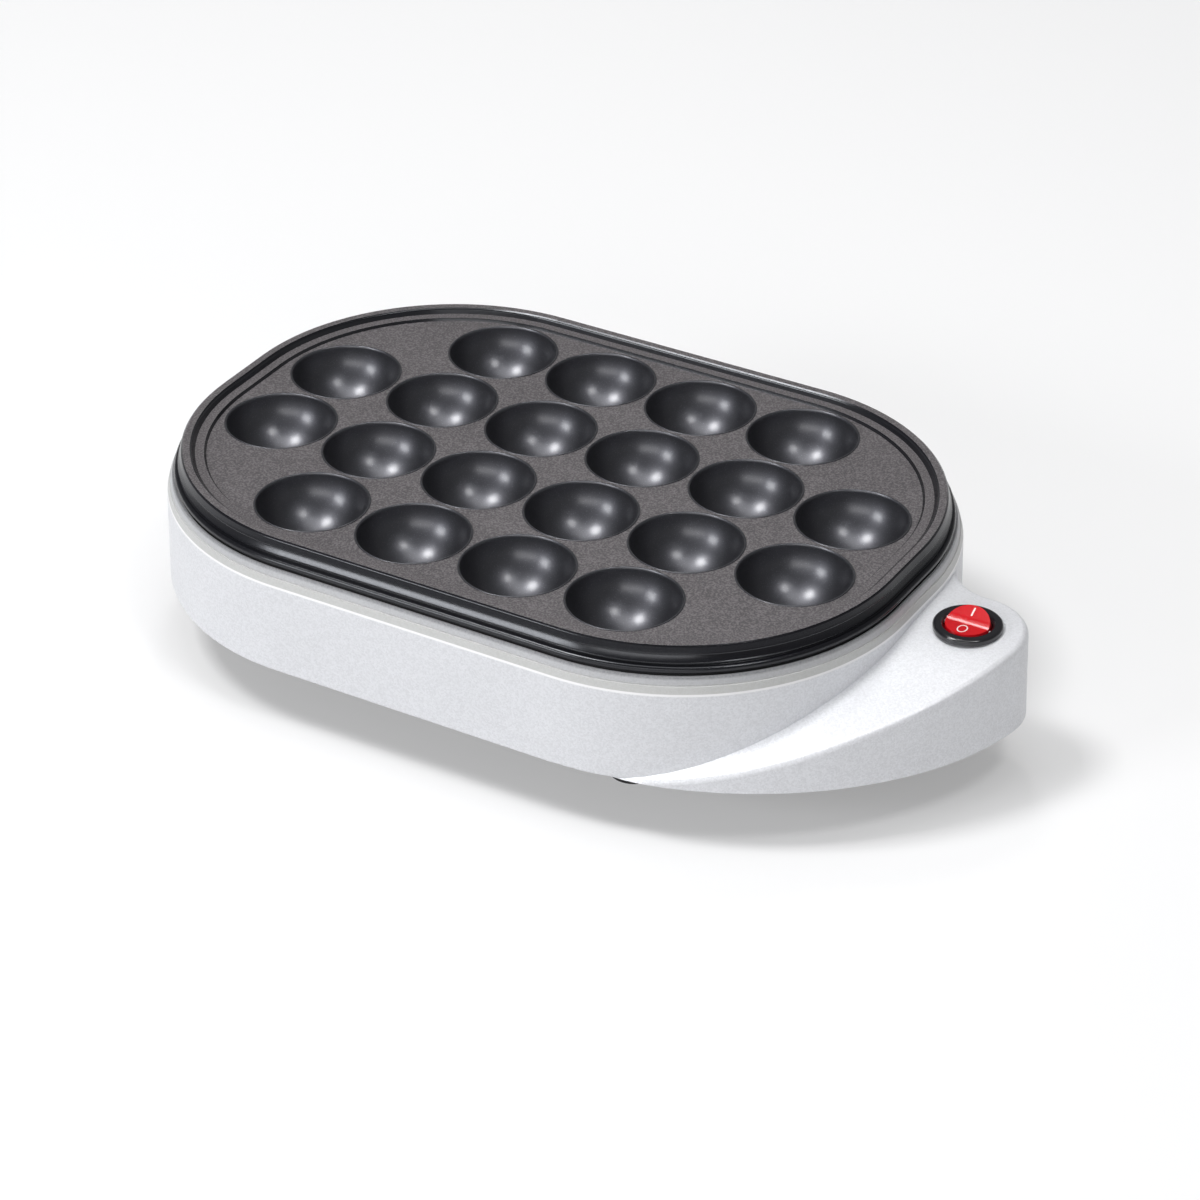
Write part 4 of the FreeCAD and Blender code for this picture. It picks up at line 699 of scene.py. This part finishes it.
def keep_mesh(host: bpy.types.Object, name: str, material: bpy.types.Material) -> bpy.types.Object:
    """Turns an object with modifiers into a plain mesh object and removes the first.

    Args:
        host: The object whose modifiers give the shape.
        name: Name of the new piece.
        material: The finish, for a mesh that comes without one.

    Returns:
        The plain object.
    """
    bpy.context.view_layer.update()
    graph = bpy.context.evaluated_depsgraph_get()
    mesh = bpy.data.meshes.new_from_object(host.evaluated_get(graph), depsgraph=graph)
    host.modifiers.clear()
    bpy.data.objects.remove(host)
    mesh.name = name
    if not mesh.materials:
        mesh.materials.append(material)
    piece = bpy.data.objects.new(name, mesh)
    bpy.context.scene.collection.objects.link(piece)
    return piece


def settle(piece: bpy.types.Object, body: Body) -> bpy.types.Object:
    """Makes a piece ride on a body and logs its face count.

    Args:
        piece: The finished piece.
        body: The body that carries it.

    Returns:
        The same piece.
    """
    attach(piece, body.value)
    LOG.info("%s: %d faces on %s", piece.name, len(piece.data.polygons), body.value)
    return piece


def middle(node: str) -> Vector:
    """Middle of a CAD node's box at rest."""
    low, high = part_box(node)
    return (low + high) / 2


# ---- sub-assemblies -------------------------------------------------------------------------
@dataclass
class GrillPlate:
    """Cast plate: the lining of its twenty wells. Sizes in millimetres."""

    pitch: float = 42.0
    columns: int = 6
    rows: int = 4
    mouth_radius: float = 20.0
    depth: float = 18.0
    floor: float = 69.3
    film: float = 0.14
    film_wall: float = 0.10
    bead_width: float = 0.6
    bead_rise: float = 0.16
    around: int = 64
    down: int = 36
    bowl_share: float = 0.88
    seam_gap: float = 2e-6

    def sphere(self) -> tuple[float, float]:
        """Radius of the lining's inner face, and the height of its centre."""
        radius = (self.mouth_radius ** 2 + self.depth ** 2) / (2 * self.depth)
        return radius - self.film, self.floor - self.depth + radius

    def bowl(self, tree: ShapeTree) -> bpy.types.NodeSocket:
        """One lining: a grid bent into a bowl whose edge ends in a small round bead.

        Args:
            tree: The tree that the nodes go into.

        Returns:
            The bowl, on its own axis.
        """
        grid = tree.grid(1.0, 1.0, tree.size("Around"), tree.size("Down"))
        place = tree.position()
        turn = tree.math("MULTIPLY", place.outputs["X"], 2 * math.pi)
        run = tree.math("ADD", place.outputs["Y"], 0.5)
        slope = tree.math("MULTIPLY", tree.span(run, 0.0, self.bowl_share), tree.size("Opening Angle"))
        edge = tree.math("MULTIPLY", tree.span(run, self.bowl_share, 1.0), math.pi)
        swing = tree.math("MULTIPLY", tree.math("SUBTRACT", 1.0, tree.math("COSINE", edge)),
                          tree.math("MULTIPLY", tree.size("Bead Width"), 0.5))
        out = tree.math("ADD", tree.math("MULTIPLY", tree.math("SINE", slope), tree.size("Sphere Radius")),
                        swing)
        drop = tree.math("MULTIPLY", tree.math("COSINE", slope), tree.size("Sphere Radius"))
        rise = tree.math("MULTIPLY", tree.math("SINE", edge), tree.size("Bead Rise"))
        height = tree.math("ADD", tree.math("SUBTRACT", tree.size("Centre Height"), drop), rise)
        spot = tree.vector(tree.math("MULTIPLY", out, tree.math("COSINE", turn)),
                           tree.math("MULTIPLY", out, tree.math("SINE", turn)), height)
        bent = tree.add("GeometryNodeSetPosition", {"Geometry": grid, "Position": spot}).outputs[0]
        seam = {"Geometry": bent, "Distance": self.seam_gap}
        return tree.add("GeometryNodeMergeByDistance", seam).outputs[0]

    def linings(self, paints: Paintbox) -> bpy.types.Object:
        """Lines every well: six by four places, without the four corners.

        Args:
            paints: The materials.

        Returns:
            The linings as one piece.
        """
        radius, centre = self.sphere()
        angle = math.acos((centre - self.floor) / radius)
        tree = ShapeTree("well_linings", {
            "Pitch": self.pitch * MM, "Columns": self.columns, "Rows": self.rows, "Around": self.around + 1,
            "Down": self.down, "Sphere Radius": radius * MM, "Centre Height": centre * MM,
            "Opening Angle": angle, "Bead Width": self.bead_width * MM, "Bead Rise": self.bead_rise * MM,
            "Plate Middle": middle("grill_plate").x})
        counts, pitch = (tree.size("Columns"), tree.size("Rows")), tree.size("Pitch")
        spans = [tree.math("MULTIPLY", tree.math("SUBTRACT", count, 1.0), pitch) for count in counts]
        places = tree.grid(*spans, *counts)
        spot = tree.position().outputs
        far = []
        for axis, span in zip("XY", spans):
            limit = tree.math("MULTIPLY", tree.math("SUBTRACT", span, pitch), 0.5)
            far.append(tree.math("GREATER_THAN", tree.math("ABSOLUTE", spot[axis]), limit))
        corner = {"Geometry": places, "Selection": tree.math("MULTIPLY", *far)}
        kept = tree.add("GeometryNodeDeleteGeometry", corner).outputs[0]
        centred = tree.moved(kept, tree.vector(tree.size("Plate Middle")))
        with_highlight_line = tree.copies(centred, self.bowl(tree))
        return tree.finish(with_highlight_line, paints.get(WELL_FINISH), wall=self.film_wall * MM)

    def build(self, paints: Paintbox) -> None:
        """Makes the plate's pieces."""
        settle(self.linings(paints), Body.BASE)


@dataclass
class RockerSwitch:
    """Round rocker switch: the two marks on the rocker's face. Sizes in millimetres."""

    bar_length: float = 3.5
    bar_width: float = 0.62
    bar_y: float = 3.8
    ring_radius: float = 1.8
    ring_stretch: float = 1.3
    ring_width: float = 0.45
    ring_y: float = -4.4
    rise: float = 0.06
    sink: float = 0.05
    steps: int = 40
    tip_steps: int = 10
    probe: float = 1.0

    def half_plane(self, y_mm: float) -> tuple[Vector, Vector, Vector]:
        """Reads one half of the rocker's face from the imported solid.

        Args:
            y_mm: Where along Y the mark goes.

        Returns:
            The point on the face there, the direction up the face, and its normal.
        """
        node = bpy.data.objects["switch_rocker"]
        x = middle("switch_rocker").x
        points = []
        for y in (y_mm - self.probe, y_mm + self.probe):
            hit, spot, _, _ = node.ray_cast(Vector((x, y * MM, 0.2)), Vector((0.0, 0.0, -1.0)))
            if not hit:
                raise ValueError(f"no rocker face under y = {y} mm")
            points.append(spot)
        along = (points[1] - points[0]).normalized()
        return (points[0] + points[1]) / 2, along, Vector((1.0, 0.0, 0.0)).cross(along)

    def raise_outline(self, mesh: bmesh.types.BMesh, y_mm: float, outline: list[tuple[float, float]],
                      inner: list[tuple[float, float]]) -> None:
        """Adds one raised mark, solid or ring shaped.

        Args:
            mesh: The mesh that it goes into.
            y_mm: Its place along Y.
            outline: Outer corners in the face's plane, in millimetres.
            inner: Inner corners of a ring, or none.
        """
        spot, along, normal = self.half_plane(y_mm)
        across = Vector((1.0, 0.0, 0.0))

        def corners(points: list[tuple[float, float]], lift: float) -> list[bmesh.types.BMVert]:
            """Puts the corners at one height over the face."""
            return [mesh.verts.new(spot + across * (u * MM) + along * (v * MM) + normal * (lift * MM))
                    for u, v in points]

        top, low = corners(outline, self.rise), corners(outline, -self.sink)
        count = len(outline)
        for i in range(count):
            j = (i + 1) % count
            mesh.faces.new((low[i], low[j], top[j], top[i]))
        if not inner:
            mesh.faces.new(top)
            mesh.faces.new(low[::-1])
            return
        in_top, in_low = corners(inner, self.rise), corners(inner, -self.sink)
        for i in range(count):
            j = (i + 1) % count
            mesh.faces.new((top[i], top[j], in_top[j], in_top[i]))
            mesh.faces.new((in_low[i], in_low[j], low[j], low[i]))
            mesh.faces.new((in_top[i], in_top[j], in_low[j], in_low[i]))

    def marks(self, paints: Paintbox) -> bpy.types.Object:
        """Draws the bar of ON and the ring of OFF.

        Args:
            paints: The materials.

        Returns:
            Both marks as one piece.
        """
        mesh = bmesh.new()
        half, tip = self.bar_width / 2, self.bar_length / 2 - self.bar_width / 2
        turns = [math.pi * k / self.tip_steps for k in range(self.tip_steps + 1)]
        bar = [(half * math.cos(a), tip + half * math.sin(a)) for a in turns]
        bar += [(half * math.cos(a + math.pi), -tip + half * math.sin(a + math.pi)) for a in turns]
        self.raise_outline(mesh, self.bar_y, bar, [])
        around = [2 * math.pi * k / self.steps for k in range(self.steps)]
        tall = self.ring_radius * self.ring_stretch
        ring = [(self.ring_radius * math.cos(a), tall * math.sin(a)) for a in around]
        hole, low = self.ring_radius - self.ring_width, tall - self.ring_width
        self.raise_outline(mesh, self.ring_y, ring, [(hole * math.cos(a), low * math.sin(a)) for a in around])
        bmesh.ops.recalc_face_normals(mesh, faces=mesh.faces[:])
        data = bpy.data.meshes.new("switch_marks")
        mesh.to_mesh(data)
        mesh.free()
        data.materials.append(paints.get(MARK_FINISH))
        piece = bpy.data.objects.new("switch_marks", data)
        bpy.context.scene.collection.objects.link(piece)
        return piece

    def build(self, paints: Paintbox) -> None:
        """Makes the switch's pieces."""
        settle(self.marks(paints), Body.ROCKER)


@dataclass
class Underside:
    """Base pan and feet: grip rings, stiffening bead and ribs. Sizes in millimetres."""

    ring_wire: float = 0.38
    ring_heights: tuple[float, float, float] = (3.0, 5.2, 7.4)
    foot_radius_low: float = 7.5
    foot_radius_high: float = 9.0
    foot_height: float = 10.0
    ring_steps: int = 56
    wire_steps: int = 10
    rim_bead: float = 2.9
    tub_in: float = 16.0
    bead_in: float = 4.0
    bead_radius: float = 0.9
    bead_steps: int = 14
    corner_steps: int = 24
    corner_radius: float = 61.0
    rib_count: int = 5
    rib_length: float = 62.0
    rib_width: float = 1.6
    rib_height: float = 1.4
    rib_pitch: float = 7.5
    rib_off: float = 88.0
    rib_drop: float = 0.45
    feet: tuple[str, ...] = ("foot_near_front", "foot_near_back", "foot_far_front", "foot_far_back")

    def foot_rings(self, paints: Paintbox) -> bpy.types.Object:
        """Moulds three thin grip rings round each foot.

        Args:
            paints: The materials.

        Returns:
            All rings as one piece.
        """
        spots = [middle(name) for name in self.feet]
        tree = ShapeTree("foot_grip_rings", {
            "Foot Spacing X": max(s.x for s in spots) - min(s.x for s in spots),
            "Foot Spacing Y": max(s.y for s in spots) - min(s.y for s in spots),
            "Feet Middle": sum(s.x for s in spots) / len(spots), "Ring Wire": self.ring_wire * MM})
        feet = tree.grid(tree.size("Foot Spacing X"), tree.size("Foot Spacing Y"), 2, 2)
        centred = tree.moved(feet, tree.vector(tree.size("Feet Middle")))
        wire = tree.circle(tree.size("Ring Wire"), self.wire_steps)
        rings = []
        for height in self.ring_heights:
            share = height / self.foot_height
            radius = self.foot_radius_low + (self.foot_radius_high - self.foot_radius_low) * share
            ring = tree.sweep(tree.circle(radius * MM, self.ring_steps), wire)
            rings.append(tree.moved(ring, (0.0, 0.0, height * MM)))
        return tree.finish(tree.copies(centred, tree.join(*rings)), paints.get(FINISHES["foot_rubber"]))

    def pan_bead(self, paints: Paintbox) -> bpy.types.Object:
        """Runs a half-round bead round the underside of the tub.

        Args:
            paints: The materials.

        Returns:
            The bead.
        """
        low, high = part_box("grill_plate")
        inward = (self.rim_bead + self.tub_in + self.bead_in) * MM
        tree = ShapeTree("pan_bead", {
            "Length": high.x - low.x - 2 * inward, "Width": high.y - low.y - 2 * inward,
            "Corner Radius": self.corner_radius * MM,
            "Bead Radius": self.bead_radius * MM, "Pan Middle": middle("grill_plate").x,
            "Pan Underside": self.foot_height * MM})
        sides = {"Width": tree.size("Length"), "Height": tree.size("Width")}
        frame = tree.add("GeometryNodeCurvePrimitiveQuadrilateral", sides).outputs[0]
        corners = {"Curve": frame, "Count": self.corner_steps, "Radius": tree.size("Corner Radius")}
        rounded = tree.add("GeometryNodeFilletCurve", corners, mode="POLY").outputs[0]
        bead = tree.sweep(rounded, tree.circle(tree.size("Bead Radius"), self.bead_steps))
        spot = tree.vector(tree.size("Pan Middle"), 0.0, tree.size("Pan Underside"))
        return tree.finish(tree.moved(bead, spot), paints.get(FINISHES["pan"]))

    def pan_ribs(self, paints: Paintbox) -> bpy.types.Object:
        """Sets two groups of stiffening ribs under the tub, outside the vents.

        Args:
            paints: The materials.

        Returns:
            The ribs as one piece.
        """
        tree = ShapeTree("pan_ribs", {
            "Rib Count": self.rib_count, "Rib Length": self.rib_length * MM, "Rib Width": self.rib_width * MM,
            "Rib Height": self.rib_height * MM, "Rib Pitch": self.rib_pitch * MM,
            "Group Offset": self.rib_off * MM, "Pan Middle": middle("grill_plate").x,
            "Pan Underside": self.foot_height * MM})
        size = tree.vector(*(tree.size(f"Rib {side}") for side in ("Width", "Length", "Height")))
        bar = tree.add("GeometryNodeMeshCube", {"Size": size}).outputs[0]
        steps = {"Count": tree.size("Rib Count"), "Offset": tree.vector(tree.size("Rib Pitch"))}
        row = tree.add("GeometryNodeMeshLine", steps).outputs[0]
        back = tree.math("MULTIPLY", tree.math("SUBTRACT", tree.size("Rib Count"), 1.0),
                         tree.math("MULTIPLY", tree.size("Rib Pitch"), -0.5))
        level = tree.math("SUBTRACT", tree.size("Pan Underside"),
                          tree.math("MULTIPLY", tree.size("Rib Height"), self.rib_drop))
        groups = []
        for side in (-1.0, 1.0):
            off = tree.math("ADD", tree.math("MULTIPLY", tree.size("Group Offset"), side),
                            tree.size("Pan Middle"))
            groups.append(tree.moved(row, tree.vector(tree.math("ADD", off, back), 0.0, level)))
        return tree.finish(tree.copies(tree.join(*groups), bar), paints.get(FINISHES["pan"]), smooth=False)

    def build(self, paints: Paintbox) -> None:
        """Makes the underside's pieces.

        Args:
            paints: The materials.
        """
        settle(self.foot_rings(paints), Body.BASE)
        settle(self.pan_bead(paints), Body.BASE)
        settle(self.pan_ribs(paints), Body.BASE)


@dataclass
class Frame:
    """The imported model: gives every CAD node the finish of its slot."""

    record: dict
    nodes: dict[str, bpy.types.Object]

    def dress(self, paints: Paintbox) -> None:
        """Puts a material on every CAD node.

        Args:
            paints: The materials.
        """
        slots = {part["node"]: part["material_slot"] for part in self.record["subparts"]}
        for name, node in self.nodes.items():
            material = paints.get(FINISHES[slots[name]])
            for holder in node.material_slots:
                holder.material = material
            LOG.info("%s: %s", name, material.name)


# ---- studio ---------------------------------------------------------------------------------
@dataclass(frozen=True)
class Softbox:
    """One area lamp, aimed at the middle of the plate. Angles in degrees, sizes in metres, power in watts."""

    name: str
    turn: float
    lift: float
    distance: float
    width: float
    height: float
    power: float
    colour: Colour = (1.0, 1.0, 1.0)


@dataclass
class Studio:
    """Pale floor, soft lamps and the camera."""

    aim: Vector
    turn: float = 30.845
    lift: float = 32.105
    roll: float = -0.341
    distance: float = 1.4
    lens: float = 119.04
    sensor: float = 36.0
    slide: tuple[float, float] = (0.013841, -0.046216)
    floor_size: float = 9.0
    floor_colour: Colour = (0.56, 0.56, 0.565)
    floor_seen: Colour = (0.68, 0.68, 0.685)
    floor_glow: float = 0.28
    horizon: float = 0.52
    zenith: float = 0.13
    haze: tuple[float, float] = (-0.05, 0.45)
    lamps: tuple[Softbox, ...] = (
        Softbox("left_softbox", -52.6, 64.5, 2.6, 0.66, 0.66, 33.0),
        Softbox("right_softbox", 72.0, 61.2, 2.0, 0.40, 0.40, 7.0),
        Softbox("top_softbox", 0.0, 86.0, 2.4, 1.4, 1.0, 9.0),
        Softbox("left_panel", -29.0, 22.0, 2.4, 0.8, 0.5, 15.5, (0.97, 0.98, 1.0)),
        Softbox("front_panel", 14.0, 21.0, 2.4, 1.9, 0.5, 9.0),
        Softbox("back_panel", -151.2, 58.5, 1.44, 0.22, 0.20, 1.8),
    )

    def basis(self, turn: float, lift: float) -> tuple[Vector, Vector, Vector]:
        """Right, up and back directions of a view.

        Args:
            turn: Degrees round from the front, towards +X.
            lift: Degrees above the horizon.

        Returns:
            The three directions.
        """
        a, e = math.radians(turn), math.radians(lift)
        back = Vector((math.sin(a) * math.cos(e), -math.cos(a) * math.cos(e), math.sin(e)))
        right = Vector((math.cos(a), math.sin(a), 0.0))
        return right, back.cross(right), back

    def hang(self, lamp: Softbox) -> None:
        """Hangs one lamp.

        Args:
            lamp: The lamp's place, size and power.
        """
        data = bpy.data.lights.new(lamp.name, "AREA")
        data.shape, data.size, data.size_y = "RECTANGLE", lamp.width, lamp.height
        data.energy, data.color = lamp.power, lamp.colour
        holder = bpy.data.objects.new(lamp.name, data)
        right, up, back = self.basis(lamp.turn, lamp.lift)
        holder.matrix_world = Matrix((right, up, back)).transposed().to_4x4()
        holder.location = self.aim + back * lamp.distance
        bpy.context.scene.collection.objects.link(holder)

    def lay_floor(self) -> None:
        """Lays the pale floor. The camera and mirrors see it a little whiter than it lights the object."""
        mesh = bmesh.new()
        bmesh.ops.create_grid(mesh, x_segments=1, y_segments=1, size=self.floor_size / 2)
        data = bpy.data.meshes.new("floor")
        mesh.to_mesh(data)
        mesh.free()
        tree = ShaderTree("studio_floor")
        path = tree.add("ShaderNodeLightPath").outputs
        mirrored = tree.math("MAXIMUM", path["Is Glossy Ray"], path["Is Transmission Ray"])
        seen = tree.math("MAXIMUM", path["Is Camera Ray"], mirrored)
        tree.surface(Base_Color=tree.blend(seen, self.floor_colour, self.floor_seen), Roughness=0.9,
                     Specular_IOR_Level=0.0, Emission_Color=(1.0, 1.0, 1.0),
                     Emission_Strength=tree.math("MULTIPLY", seen, self.floor_glow))
        data.materials.append(tree.material)
        floor = bpy.data.objects.new("floor", data)
        bpy.context.scene.collection.objects.link(floor)
        floor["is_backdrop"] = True

    def light_world(self) -> None:
        """Surrounds the scene with a pale horizon that fades to a dimmer ceiling."""
        world = bpy.data.worlds.new("studio")
        world.use_nodes = True
        bpy.context.scene.world = world
        tree = Tree(world.node_tree)
        world.node_tree.nodes.clear()
        direction = tree.add("ShaderNodeTexCoord").outputs["Generated"]
        height = tree.add("ShaderNodeSeparateXYZ", {0: direction}).outputs["Z"]
        strength = tree.span(height, *self.haze, self.horizon, self.zenith)
        shade = tree.add("ShaderNodeBackground", {"Color": (1.0, 1.0, 1.0, 1.0), "Strength": strength})
        output = tree.add("ShaderNodeOutputWorld")
        world.node_tree.links.new(shade.outputs[0], output.inputs["Surface"])

    def place_camera(self) -> None:
        """Places the camera and makes it the scene's own."""
        data = bpy.data.cameras.new("camera")
        data.lens, data.sensor_width, data.sensor_fit = self.lens, self.sensor, "HORIZONTAL"
        data.clip_start, data.clip_end = 0.05, 50.0
        holder = bpy.data.objects.new("camera", data)
        right, up, back = self.basis(self.turn, self.lift)
        r = math.radians(self.roll)
        right, up = right * math.cos(r) + up * math.sin(r), up * math.cos(r) - right * math.sin(r)
        holder.matrix_world = Matrix((right, up, back)).transposed().to_4x4()
        holder.location = self.aim + right * self.slide[0] + up * self.slide[1] + back * self.distance
        bpy.context.scene.collection.objects.link(holder)
        bpy.context.scene.camera = holder

    def build(self) -> None:
        """Sets up the floor, lamps, world and camera."""
        self.place_camera()
        self.lay_floor()
        self.light_world()
        for lamp in self.lamps:
            self.hang(lamp)
        bpy.context.scene.view_settings.view_transform = "Standard"


def corners(box: tuple[Vector, Vector]) -> list[list[float]]:
    """A box's two corners as plain numbers."""
    return [list(map(float, corner)) for corner in box]


def main() -> None:
    """Builds the whole scene."""
    logging.basicConfig(level=logging.INFO, format="%(name)s %(message)s")
    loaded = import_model()
    cad_box = corners(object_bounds())
    plate = middle("grill_plate")
    Studio(Vector((plate.x, plate.y, GrillPlate.floor * MM))).build()
    paints = Paintbox()
    Frame(loaded["record"], loaded["nodes"]).dress(paints)
    for assembly in (GrillPlate(), RockerSwitch(), Underside()):
        assembly.build(paints)
    bpy.context.view_layer.update()
    {"cad": cad_box, "visual": corners(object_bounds())}


if __name__ == "__main__":
    main()
